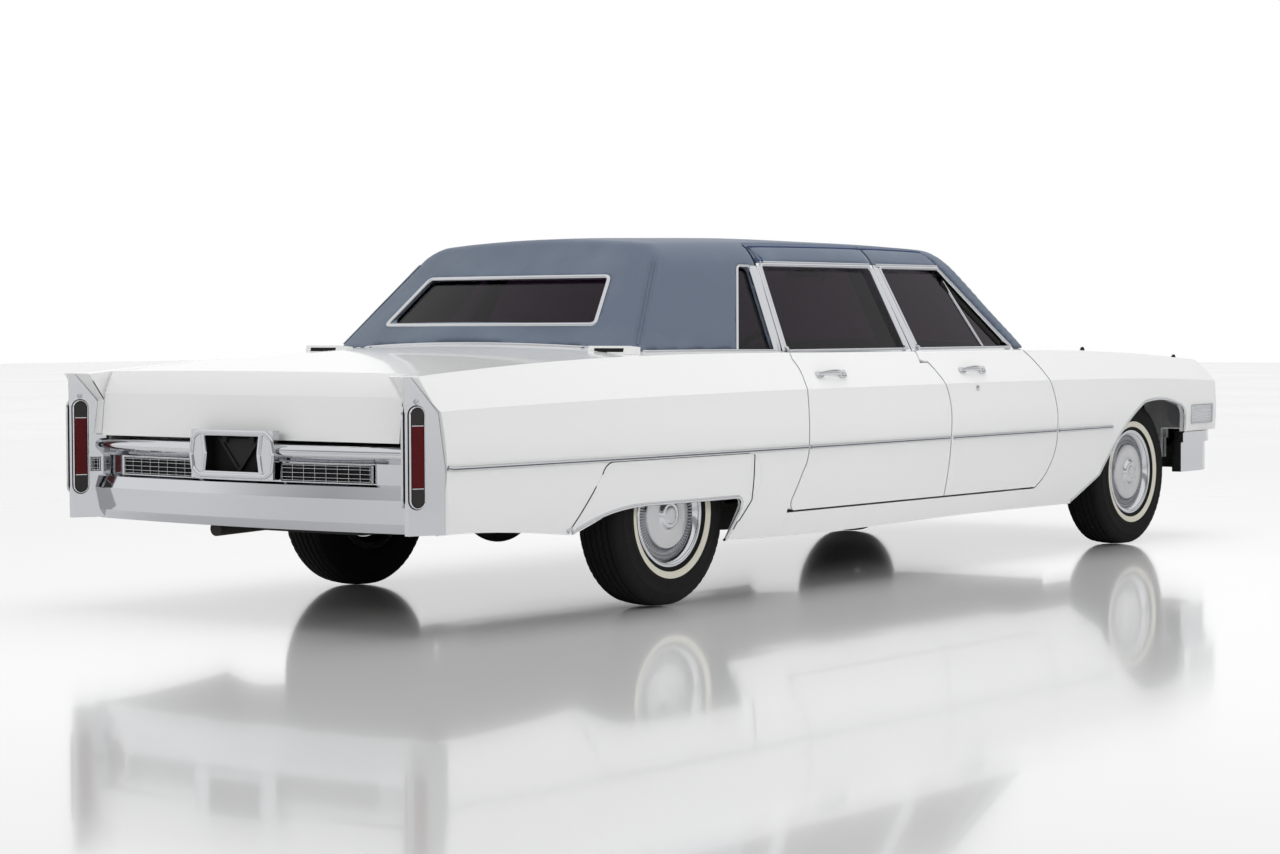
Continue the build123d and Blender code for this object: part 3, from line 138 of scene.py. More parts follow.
class Sheet:
    """Writes one material's nodes."""

    def __init__(self, name: str = "", tree: bpy.types.NodeTree | None = None) -> None:
        """Start an empty material, or empty a tree that exists.

        Args:
            name: The material's name.
            tree: Node tree to empty and write to.
        """
        if tree is None:
            self.material = bpy.data.materials.new(name)
            self.material.use_nodes = True
            tree = self.material.node_tree
        self.tree = tree
        self.tree.nodes.clear()

    def node(
        self,
        kind: str,
        settings: dict[str, Any] | None = None,
        inputs: dict[Union[int, str], Any] | None = None,
        output: Union[int, str] = 0,
    ) -> Sock:
        """Add any node.

        Args:
            kind: The node's type.
            settings: Its own settings, set first; "stops" fills a colour ramp.
            inputs: Values or sockets by name or index.
            output: Which output to return.

        Returns:
            That output.
        """
        made = self.tree.nodes.new(kind)
        for key, value in (settings or {}).items():
            if key == "stops":
                self._stops(made.color_ramp, value)
            else:
                setattr(made, key, value)
        for key, value in (inputs or {}).items():
            if isinstance(value, Sock):
                self.tree.links.new(value.socket, made.inputs[key])
            else:
                made.inputs[key].default_value = value
        return Sock(self, made.outputs[output]) if len(made.outputs) else Sock(self, made.inputs[0])

    @staticmethod
    def _stops(ramp: bpy.types.ColorRamp, stops: Sequence[tuple[float, float]]) -> None:
        """Set a ramp's grey stops from (place, value) pairs.

        Args:
            ramp: The colour ramp.
            stops: Pairs of place and value.
        """
        while len(ramp.elements) > 1:
            ramp.elements.remove(ramp.elements[-1])
        for index, (place, value) in enumerate(stops):
            element = ramp.elements[0] if index == 0 else ramp.elements.new(place)
            element.position = place
            element.color = (value, value, value, 1.0)

    def place(self) -> Sock:
        """Object coordinates, which follow the piece."""
        return self.node("ShaderNodeTexCoord", output="Object")

    def axes(self) -> tuple[Sock, Sock, Sock]:
        """Object coordinates as three values."""
        at = self.place()
        return tuple(self.node("ShaderNodeSeparateXYZ", None, {0: at}, i) for i in range(3))

    def noise(self, scale: Number, detail: Number = 2.0, stretch: Sequence[Number] | None = None) -> Sock:
        """Noise over the piece.

        Args:
            scale: Cells to a metre.
            detail: Octaves.
            stretch: Factors along each axis.

        Returns:
            A value about 0 to 1.
        """
        at = self.place()
        if stretch:
            at = self.node("ShaderNodeVectorMath", {"operation": "MULTIPLY"}, {0: at, 1: tuple(stretch)})
        return self.node("ShaderNodeTexNoise", None, {"Vector": at, "Scale": scale, "Detail": detail}, "Fac")

    def ramp(self, value: Sock, *stops: tuple[float, float]) -> Sock:
        """Remap a value through (place, value) stops."""
        return self.node("ShaderNodeValToRGB", {"stops": stops}, {0: value})

    def mix(self, factor: Any, first: Any, second: Any) -> Sock:
        """Blend two colours.

        Args:
            factor: 0 for the first, 1 for the second.
            first: Colour or socket.
            second: Colour or socket.

        Returns:
            The colour.
        """
        return self.node("ShaderNodeMix", {"data_type": "RGBA"}, {0: factor, 6: first, 7: second}, 2)

    def bump(self, height: Sock, strength: Number, distance: Number) -> Sock:
        """Turn a height into a normal.

        Args:
            height: Height over the surface.
            strength: How strongly it shows.
            distance: Height of a full step in metres.

        Returns:
            The normal.
        """
        return self.node(
            "ShaderNodeBump", None, {"Height": height, "Strength": strength, "Distance": distance}, "Normal"
        )

    def surface(self, **inputs: Any) -> bpy.types.Material:
        """End the material with one Principled shader.

        Args:
            inputs: Socket values, with underscores for spaces.

        Returns:
            The material.
        """
        named = {key.replace("_", " "): value for key, value in inputs.items()}
        shader = self.node("ShaderNodeBsdfPrincipled", None, named, "BSDF")
        self.node("ShaderNodeOutputMaterial", None, {"Surface": shader})
        return self.material


Colour = tuple[float, float, float, float]


def shade(value: Number, *rest: Number) -> Colour:
    """Opaque colour from one grey or three channels."""
    red, green, blue = (value, *rest) if rest else (value, value, value)
    return (red, green, blue, 1.0)


@dataclass(frozen=True)
class Paint:
    """Glossy body paint under a clear coat."""

    name: str = "body_paint"
    colour: Colour = shade(0.80, 0.805, 0.80)
    dust: Colour = shade(0.70, 0.69, 0.66)
    roughness: float = 0.22
    coat: float = 0.45

    def make(self) -> bpy.types.Material:
        """Material with faint peel and a little road dust low down.

        Returns:
            The material.
        """
        sheet = Sheet(self.name)
        height = sheet.axes()[2]
        low = sheet.ramp(height, (0.24, 1.0), (0.42, 0.0))
        film = low * sheet.noise(5.0, 2.0) * 0.2
        peel = sheet.noise(260.0, 1.0)
        return sheet.surface(
            Base_Color=sheet.mix(film, self.colour, self.dust),
            Roughness=film * 0.4 + self.roughness,
            Coat_Weight=self.coat,
            Coat_Roughness=0.04,
            Coat_IOR=1.3,
            Normal=sheet.bump(peel, 0.012, 0.001),
        )


@dataclass(frozen=True)
class Bright:
    """Plated or polished metal."""

    name: str
    colour: Colour = shade(0.60, 0.61, 0.63)
    roughness: float = 0.05
    haze: float = 0.06
    grain: float = 0.0

    def make(self) -> bpy.types.Material:
        """Metal with faint haze, and turned grain where it is brushed.

        Returns:
            The material.
        """
        sheet = Sheet(self.name)
        smear = sheet.noise(14.0, 3.0)
        rough = smear * self.haze + self.roughness
        inputs: dict[str, Any] = {
            "Base_Color": sheet.mix(smear * 0.12, self.colour, shade(0.62, 0.63, 0.66)),
            "Metallic": 1.0,
            "Roughness": rough,
        }
        if self.grain:
            lines = sheet.noise(40.0, 2.0, (60.0, 1.0, 60.0))
            inputs["Normal"] = sheet.bump(lines, self.grain, 0.0004)
        return sheet.surface(**inputs)


@dataclass(frozen=True)
class Weave:
    """Woven cloth, for the padded top and the seats."""

    name: str
    warp: Colour
    weft: Colour
    threads: float = 620.0
    relief: float = 0.35

    def make(self) -> bpy.types.Material:
        """Cloth with crossing threads, slubs and faded patches.

        Returns:
            The material.
        """
        sheet = Sheet(self.name)
        along, across, up = sheet.axes()
        run = (along * self.threads + up * self.threads * 0.4).sine()
        fill = (across * self.threads + up * self.threads * 0.9).sine()
        cross = (run * fill) * 0.5 + 0.5
        slub = sheet.noise(420.0, 3.0)
        fade = sheet.noise(2.2, 3.0)
        tone = sheet.mix(cross * 0.55 + slub * 0.35, self.warp, self.weft)
        worn = sheet.mix(sheet.ramp(fade, (0.45, 0.0), (0.75, 0.22)), tone, shade(0.30, 0.35, 0.42))
        return sheet.surface(
            Base_Color=worn,
            Roughness=slub * 0.2 + 0.72,
            Sheen_Weight=0.25,
            Sheen_Roughness=0.4,
            Normal=sheet.bump(cross * 0.6 + slub * 0.8, self.relief, 0.0012),
        )


@dataclass(frozen=True)
class Pane:
    """Tinted or clear glass."""

    name: str
    colour: Colour
    roughness: float = 0.0

    def make(self) -> bpy.types.Material:
        """Glass with a faint uneven film of grime.

        Returns:
            The material.
        """
        sheet = Sheet(self.name)
        film = sheet.noise(30.0, 3.0)
        return sheet.surface(
            Base_Color=self.colour,
            Roughness=film * 0.03 + self.roughness,
            IOR=1.22,
            Transmission_Weight=1.0,
        )


@dataclass(frozen=True)
class Dull:
    """Matt or satin surface: rubber, plastic, undercoat, iron."""

    name: str
    colour: Colour
    tint: Colour
    roughness: float = 0.6
    metal: float = 0.0
    grain: float = 180.0
    relief: float = 0.15
    ior: float = 1.4

    def make(self) -> bpy.types.Material:
        """Surface with a grain and uneven tone.

        Returns:
            The material.
        """
        sheet = Sheet(self.name)
        patch = sheet.noise(7.0, 4.0)
        grain = sheet.noise(self.grain, 3.0)
        return sheet.surface(
            Base_Color=sheet.mix(patch * 0.7, self.colour, self.tint),
            Metallic=self.metal,
            Roughness=grain * 0.2 + self.roughness,
            IOR=self.ior,
            Normal=sheet.bump(grain, self.relief, 0.001),
        )


@dataclass(frozen=True)
class Lens:
    """Moulded lamp lens with fine ribs across its height."""

    name: str
    colour: Colour
    dark: Colour
    ribs: float = 900.0
    bands: tuple[float, float] = (0.0, 9.0)

    def make(self) -> bpy.types.Material:
        """Lens with ribs, smoked beyond its two bands.

        Returns:
            The material.
        """
        sheet = Sheet(self.name)
        height = sheet.axes()[2]
        smoked = (height < self.bands[0]) + (height > self.bands[1])
        ribs = (height * self.ribs).sine()
        return sheet.surface(
            Base_Color=sheet.mix(smoked, self.colour, self.dark),
            Roughness=sheet.noise(60.0) * 0.08 + 0.16,
            IOR=1.25,
            Normal=sheet.bump(ribs, 0.25, 0.0012),
        )


@dataclass(frozen=True)
class DoorFinish:
    """Door in three finishes: paint below the belt, bright frame, cloth header."""

    name: str = "door_finish"
    belt: float = 0.9835
    header: float = 1.362
    paint: Colour = shade(0.80, 0.805, 0.80)
    metal: Colour = shade(0.80, 0.81, 0.83)
    cloth: Colour = shade(0.092, 0.118, 0.165)
    lining: Colour = shade(0.030, 0.037, 0.052)

    def make(self) -> bpy.types.Material:
        """Material masked by height, with the trim panel's colour on the cabin side.

        Returns:
            The material.
        """
        sheet = Sheet(self.name)
        _, across, height = sheet.axes()
        above = height > self.belt
        top = height > self.header
        bright = above - top
        inside = (across.size() < 0.868) * (1 - above)
        low = sheet.ramp(height, (0.24, 1.0), (0.42, 0.0))
        film = low * sheet.noise(5.0, 2.0) * 0.2
        coat = sheet.mix(film, self.paint, shade(0.70, 0.69, 0.66))
        lined = sheet.mix(inside, coat, self.lining)
        framed = sheet.mix(above, lined, self.metal)
        return sheet.surface(
            Base_Color=sheet.mix(top, framed, self.cloth),
            Metallic=bright,
            Roughness=bright * -0.14 + top * 0.55 + inside * 0.4 + film * 0.4 + 0.22,
            Coat_Weight=(1 - above) * (1 - inside) * 0.45,
            Coat_Roughness=0.04,
            Coat_IOR=1.3,
            Normal=sheet.bump(sheet.noise(260.0, 1.0), 0.012, 0.001),
        )


class Finishes:
    """Every finish of the car, made once."""

    def __init__(self) -> None:
        """Make the materials."""
        self.paint = Paint().make()
        self.cloth = Weave("top_cloth", shade(0.070, 0.092, 0.135), shade(0.128, 0.160, 0.215)).make()
        self.seat = Weave("seat_cloth", shade(0.035, 0.045, 0.070), shade(0.060, 0.075, 0.110), 480.0).make()
        self.chrome = Bright("chrome").make()
        self.glass = Pane("tinted_glass", shade(0.085, 0.055, 0.090)).make()
        self.rubber = Dull("tyre_rubber", shade(0.009), shade(0.018), 0.68, 0.0, 300.0, 0.2, 1.22).make()
        self.band = Dull("white_band", shade(0.72, 0.70, 0.60), shade(0.62, 0.59, 0.48), 0.55).make()
        self.black = Dull("black_plastic", shade(0.007), shade(0.014), 0.5, 0.0, 180.0, 0.15, 1.22).make()
        self.under = Dull("undercoat", shade(0.014), shade(0.034, 0.030, 0.026), 0.75, 0.0, 90.0, 0.4).make()
        self.iron = Dull("engine_iron", shade(0.05, 0.06, 0.075), shade(0.10, 0.09, 0.08), 0.55, 0.5).make()
        self.pipe = Dull("exhaust_steel", shade(0.03, 0.028, 0.026), shade(0.06, 0.05, 0.045), 0.6, 0.4).make()
        self.trim = Dull("cabin_trim", shade(0.025, 0.031, 0.045), shade(0.04, 0.048, 0.065), 0.6).make()
        self.red = Lens(
            "red_lens", shade(0.080, 0.004, 0.006), shade(0.035, 0.030, 0.030), 900.0, (0.535, 0.755)
        ).make()
        self.clear_lens = Lens("ribbed_lens", shade(0.62, 0.64, 0.66), shade(0.3), 1400.0).make()
        self.mirror = Bright("mirror_glass", shade(0.85), 0.01, 0.02).make()
        # The cover's dish is chrome with its colour dropped to 0.22: painted dark reflection.
        self.dish = Bright("cover_dish", shade(0.22, 0.225, 0.24), 0.10, 0.06).make()
        self.disc = Bright("cover_disc", shade(0.62, 0.62, 0.63), 0.30, 0.10).make()
        self.thread = Dull("top_thread", shade(0.14, 0.17, 0.22), shade(0.20, 0.23, 0.28), 0.8).make()
        self.piping = Dull("top_piping", shade(0.035, 0.055, 0.13), shade(0.05, 0.075, 0.16), 0.6).make()
        self.bracket = Dull(
            "plate_bracket", shade(0.014, 0.014, 0.015), shade(0.024), 0.45, 0.0, 180.0, 0.15, 1.3
        ).make()
        self.lamp_glass = Lens("headlamp_glass", shade(0.55, 0.57, 0.60), shade(0.3), 500.0).make()
        self.door = DoorFinish().make()


@dataclass
class Studio:
    """Pale floor, white surround, soft lights and the camera."""

    eye: tuple[float, float, float] = (-10.416, -7.5356, 1.1061)
    yaw: float = 37.6106
    pitch: float = -2.0807
    roll: float = -0.2611
    focal_px: float = 2829.5
    image_px: float = 1280.0
    fill: float = 0.55

    def build(self) -> None:
        """Make the studio round the car."""
        self._floor()
        self._surround()
        self._lights()
        self._camera()
        bpy.context.scene.view_settings.view_transform = "Standard"

    def _floor(self) -> None:
        """Glossy pale floor that keeps the car's shadow."""
        sheet = Sheet("studio_floor")
        cloudy = sheet.noise(0.35, 3.0)
        material = sheet.surface(
            Base_Color=sheet.mix(cloudy, shade(0.87, 0.87, 0.87), shade(0.84, 0.84, 0.845)),
            Roughness=cloudy * 0.05 + 0.08,
            Coat_Weight=0.25,
            Coat_Roughness=0.03,
        )
        corners = [(-60.0, -60.0, 0.0), (60.0, -60.0, 0.0), (60.0, 60.0, 0.0), (-60.0, 60.0, 0.0)]
        floor = Forge.mesh("studio_floor", corners, [(0, 1, 2, 3)], material)

    def _surround(self) -> None:
        """White world to the camera, and in reflections apart from a painted dark band that only reflections see; a
        plain level of light elsewhere.
        """
        world = bpy.data.worlds.new("studio")
        bpy.context.scene.world = world
        world.use_nodes = True
        sheet = Sheet(tree=world.node_tree)
        seen = sheet.node("ShaderNodeLightPath", output="Is Camera Ray")
        glossy = sheet.node("ShaderNodeLightPath", output="Is Glossy Ray")
        through = sheet.node("ShaderNodeLightPath", output="Is Transmission Ray")
        shown = seen.most(glossy).most(through)
        level = shown * (1.0 - self.fill) + self.fill
        at = sheet.node("ShaderNodeTexCoord", output="Generated")
        ahead, left, up = (sheet.node("ShaderNodeSeparateXYZ", None, {0: at}, i) for i in range(3))
        # Painted reflection: a dark band low in the surround, on the side that tail picks, is taken off the light for
        # glossy rays only, so bright metal shows dark streaks.
        tail = sheet.ramp(ahead * -0.25 - left * 0.4 + 0.5, (0.34, 0.0), (0.46, 1.0))
        painted_dark_reflection_band = sheet.ramp(up, (0.05, 0.0), (0.14, 0.62), (0.32, 0.62), (0.44, 0.0)) * tail
        backdrop = sheet.node("ShaderNodeBackground", None, {"Color": shade(1.0), "Strength": level - painted_dark_reflection_band * glossy})
        sheet.node("ShaderNodeOutputWorld", None, {"Surface": backdrop})

    def _lights(self) -> None:
        """Long soft boxes overhead and a low fill behind the camera."""
        for name, spot, aim, size, power in (
            ("overhead", (0.0, -1.0, 6.0), (0.0, 0.0, 0.5), (9.0, 4.0), 240.0),
            ("right_wall", (-1.0, -8.0, 3.6), (0.0, 0.0, 0.7), (9.0, 2.2), 150.0),
            ("tail_wall", (-9.5, 1.0, 3.2), (-2.0, 0.0, 0.7), (6.0, 2.2), 110.0),
        ):
            lamp = bpy.data.lights.new(name, "AREA")
            lamp.shape = "RECTANGLE"
            lamp.size, lamp.size_y = size
            lamp.energy = power
            thing = bpy.data.objects.new(name, lamp)
            thing.location = spot
            thing.rotation_euler = (Vector(aim) - Vector(spot)).to_track_quat("-Z", "Y").to_euler()
            thing.visible_glossy = False
            bpy.context.scene.collection.objects.link(thing)

    def _camera(self) -> None:
        """Camera at the photograph's place and angle."""
        yaw, pitch, roll = (math.radians(a) for a in (self.yaw, self.pitch, self.roll))
        ahead = Vector((math.cos(yaw) * math.cos(pitch), math.sin(yaw) * math.cos(pitch), math.sin(pitch)))
        right = ahead.cross(Vector((0, 0, 1))).normalized()
        up = right.cross(ahead)
        level = math.cos(roll) * right + math.sin(roll) * up
        crown = math.cos(roll) * up - math.sin(roll) * right
        lens = bpy.data.cameras.new("camera")
        lens.sensor_width = 36.0
        lens.sensor_fit = "HORIZONTAL"
        lens.lens = self.focal_px / self.image_px * 36.0
        lens.clip_end = 200.0
        thing = bpy.data.objects.new("camera", lens)
        turn = Matrix((level, crown, -ahead)).transposed().to_4x4()
        thing.matrix_world = Matrix.Translation(self.eye) @ turn
        bpy.context.scene.collection.objects.link(thing)
        bpy.context.scene.camera = thing


class Forge:
    """Makes mesh pieces in code."""

    @staticmethod
    def mesh(
        name: str,
        points: Sequence[Sequence[float]],
        faces: Sequence[Sequence[int]],
        material: bpy.types.Material,
        numbers: Sequence[int] | None = None,
    ) -> bpy.types.Object:
        """Object from points and faces.

        Args:
            name: The piece's name.
            points: Corners in the row frame, in metres.
            faces: Corner numbers of each face.
            material: Its finish.
            numbers: Material number of each face.

        Returns:
            The object, in the scene.
        """
        data = bpy.data.meshes.new(name)
        data.from_pydata([tuple(p) for p in points], [], [tuple(f) for f in faces])
        if numbers:
            data.polygons.foreach_set("material_index", numbers)
        work = bmesh.new()
        work.from_mesh(data)
        bmesh.ops.remove_doubles(work, verts=work.verts, dist=0.00001)
        bmesh.ops.recalc_face_normals(work, faces=work.faces)
        work.to_mesh(data)
        work.free()
        data.polygons.foreach_set("use_smooth", [True] * len(data.polygons))
        data.materials.append(material)
        thing = bpy.data.objects.new(name, data)
        bpy.context.scene.collection.objects.link(thing)
        return thing

    @staticmethod
    def settle(thing: bpy.types.Object, body: str, slot: str, angle: float = 35.0) -> bpy.types.Object:
        """Sharpen a piece's hard edges and hang it on a body.

        Args:
            thing: The piece.
            body: The body it rides on.
            slot: The record's material slot; not used.
            angle: Edges turning more than this stay sharp, in degrees.

        Returns:
            The piece.
        """
        thing.data.set_sharp_from_angle(angle=math.radians(angle))
        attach(thing, body)
        LOG.info("piece %s on %s", thing.name, body)
        return thing


Spot = tuple[Vector, Vector]
Solid = tuple[list[Vector], list[tuple[int, ...]]]


class Skin:
    """Finds where straight lines meet the outside of CAD nodes."""

    def __init__(self, *nodes: str) -> None:
        """Gather the nodes' faces.

        Args:
            nodes: Names of the CAD nodes.
        """
        points: list[Vector] = []
        faces: list[tuple[int, ...]] = []
        for node in nodes:
            mesh = frame["nodes"][node].data
            start = len(points)
            points += [v.co.copy() for v in mesh.vertices]
            faces += [tuple(start + i for i in p.vertices) for p in mesh.polygons]
        self.tree = BVHTree.FromPolygons(points, faces)

    def hit(self, start: Sequence[float], way: Sequence[float]) -> Spot:
        """First point met along a line.

        Args:
            start: Where the line begins.
            way: Its direction.

        Returns:
            The point and the surface's normal there, or the nearest point if the line meets nothing.
        """
        spot, normal, _, _ = self.tree.ray_cast(Vector(start), Vector(way))
        if spot is None:
            spot, normal, _, _ = self.tree.find_nearest(Vector(start) + Vector(way))
        return spot, (-normal if normal.dot(Vector(way)) > 0 else normal)

    def side(self, x: float, z: float, side: Side) -> Spot:
        """Point on the car's side at a place in side view."""
        return self.hit((x, side.value * 2.0, z), (0.0, -side.value, 0.0))

    def row(self, places: Sequence[Point], side: Side) -> list[Spot]:
        """Points across the car's side, carried straight on past the surface's edge.

        Args:
            places: Evenly spaced places in side view.
            side: Side of the car.

        Returns:
            One spot for each place.
        """
        spots = [self.side(x, z, side) for x, z in places]
        met = [k for k, (_, z) in enumerate(places) if abs(spots[k][0].z - z) < 0.0005]
        if len(met) < 2:
            return spots
        for k in sorted(set(range(len(places))) - set(met)):
            near, far = (met[0], met[1]) if k < met[0] else (met[-1], met[-2])
            step = (spots[near][0] - spots[far][0]) / (near - far)
            spots[k] = (spots[near][0] + step * (k - near), spots[near][1])
        return spots

    def rear(self, y: float, z: float) -> Spot:
        """Point met from behind the car."""
        return self.hit((-4.0, y, z), (1.0, 0.0, 0.0))

    def nose(self, y: float, z: float) -> Spot:
        """Point met from in front of the car."""
        return self.hit((4.0, y, z), (-1.0, 0.0, 0.0))

    def top(self, x: float, y: float) -> Spot:
        """Point met from above."""
        return self.hit((x, y, 3.0), (0.0, 0.0, -1.0))

    def round(self, x: float, angle: float, side: Side) -> Spot:
        """Point met from outside, square to the car, at an angle up from the belt.

        Args:
            x: Place along the car.
            angle: Degrees up from level, about the middle of the belt.
            side: Side of the car.

        Returns:
            The point and the normal.
        """
        turn = math.radians(angle)
        way = Vector((0.0, side.value * math.cos(turn), math.sin(turn)))
        return self.hit(Vector((x, 0.0, BELT_Z)) + way * 3.0, -way)


class Line:
    """Makes lines for trim to follow."""

    @staticmethod
    def run(points: Sequence[Sequence[float]], step: float = 0.03) -> list[Point]:
        """Points along a line of straights and arcs.

        Args:
            points: (a, b) ends a straight, (a, b, via_a, via_b) ends an arc through a third point.
            step: Greatest distance between points.

        Returns:
            The points.
        """
        made = [tuple(points[0][:2])]
        for point in points[1:]:
            start, end = Vector(made[-1]), Vector(point[:2])
            if len(point) == 4:
                via = Vector(point[2:])
                bend = via - (start + end) / 2
                count = max(4, math.ceil((end - start).length / step * 1.2))
                shares = [i / count for i in range(1, count + 1)]
                made += [tuple(start.lerp(end, s) + bend * (4 * s * (1 - s))) for s in shares]
            else:
                count = max(1, math.ceil((end - start).length / step))
                made += [tuple(start.lerp(end, i / count)) for i in range(1, count + 1)]
        return made

    @staticmethod
    def shift(points: Sequence[Point], amount: float) -> list[Point]:
        """Move an open line sideways, to the left of its direction when amount is more than 0.

        Args:
            points: The line's points.
            amount: How far it moves.

        Returns:
            The moved points.
        """
        made: list[Point] = []
        for i, point in enumerate(points):
            before, after = Vector(points[max(0, i - 1)]), Vector(points[min(len(points) - 1, i + 1)])
            run = (after - before).normalized()
            made.append((point[0] - run.y * amount, point[1] + run.x * amount))
        return made

    @staticmethod
    def loop(corners: Sequence[Point], radius: float, grow: float = 0.0, step: float = 0.03) -> list[Point]:
        """Closed line round corners with rounded turns.

        Args:
            corners: Corner points in order.
            radius: Radius of the turns.
            grow: How far outside the corners the line runs.
            step: Greatest distance between points.

        Returns:
            The points, without repeating the first.
        """
        middle = sum((Vector(c) for c in corners), Vector((0.0, 0.0))) / len(corners)
        spread = []
        for i, corner in enumerate(corners):
            here = Vector(corner)
            to = (Vector(corners[i - 1]) - here).normalized()
            on = (Vector(corners[(i + 1) % len(corners)]) - here).normalized()
            sine = max(0.3, abs(to.cross(on)))
            away = -(to + on)
            spread.append(here + away * (grow / sine) if away.dot(here - middle) > 0 else here - away * (grow / sine))
        made: list[Point] = []
        for i, here in enumerate(spread):
            before, after = spread[i - 1], spread[(i + 1) % len(spread)]
            reach = min(radius, (before - here).length * 0.4, (after - here).length * 0.4)
            first = here + (before - here).normalized() * reach
            last = here + (after - here).normalized() * reach
            for k in range(7):
                s = k / 6
                made.append(tuple(first * (1 - s) ** 2 + here * (2 * s * (1 - s)) + last * s**2))
            following = after + (here - after).normalized() * min(radius, (after - here).length * 0.4)
            count = max(1, math.ceil((following - last).length / step))
            made += [tuple(last.lerp(following, k / count)) for k in range(1, count)]
        return made

    @staticmethod
    def even(spots: Sequence[Spot], closed: bool = False, width: int = 2) -> list[Spot]:
        """Smooth the normals along a line, because the CAD faces are flat.

        Args:
            spots: Points and normals.
            closed: Whether the line closes.
            width: How many neighbours each way count.

        Returns:
            The same points with smoother normals.
        """
        made = []
        count = len(spots)
        for i, (point, _) in enumerate(spots):
            total = Vector()
            for k in range(i - width, i + width + 1):
                total += spots[k % count if closed else min(max(k, 0), count - 1)][1]
            made.append((point, total.normalized()))
        return made


class Section:
    """Cross-sections of trim: (across, height) points."""

    @staticmethod
    def crowned(width: float, height: float, sink: float = 0.002) -> list[Point]:
        """Half-round strip.

        Args:
            width: Width across.
            height: Height in the middle.
            sink: How far the edges go under the surface.

        Returns:
            Points of the section.
        """
        arc = [math.pi * i / 8 for i in range(9)]
        crown = [(-width / 2 * math.cos(a), height * math.sin(a)) for a in arc]
        return [(-width / 2, -sink)] + crown + [(width / 2, -sink)]

    @staticmethod
    def grooved(width: float, height: float, sink: float = 0.002) -> list[Point]:
        """Flat strip with rolled edges and a groove along its middle.

        Args:
            width: Width across.
            height: Height of the rolled edges.
            sink: How far the edges go under the surface.

        Returns:
            Points of the section.
        """
        half, lip = width / 2, width * 0.12
        return [
            (-half, -sink), (-half, height * 0.6), (-half + lip * 0.5, height), (-half + lip * 1.6, height),
            (-lip, height * 0.9), (0.0, height * 0.35), (lip, height * 0.9),
            (half - lip * 1.6, height), (half - lip * 0.5, height), (half, height * 0.6), (half, -sink),
        ]

    @staticmethod
    def round(radius: float, lift: float = 0.0, sides: int = 12) -> list[Point]:
        """Round cord."""
        turns = [2 * math.pi * i / sides for i in range(sides)]
        return [(radius * math.cos(a), lift + radius * math.sin(a)) for a in turns]


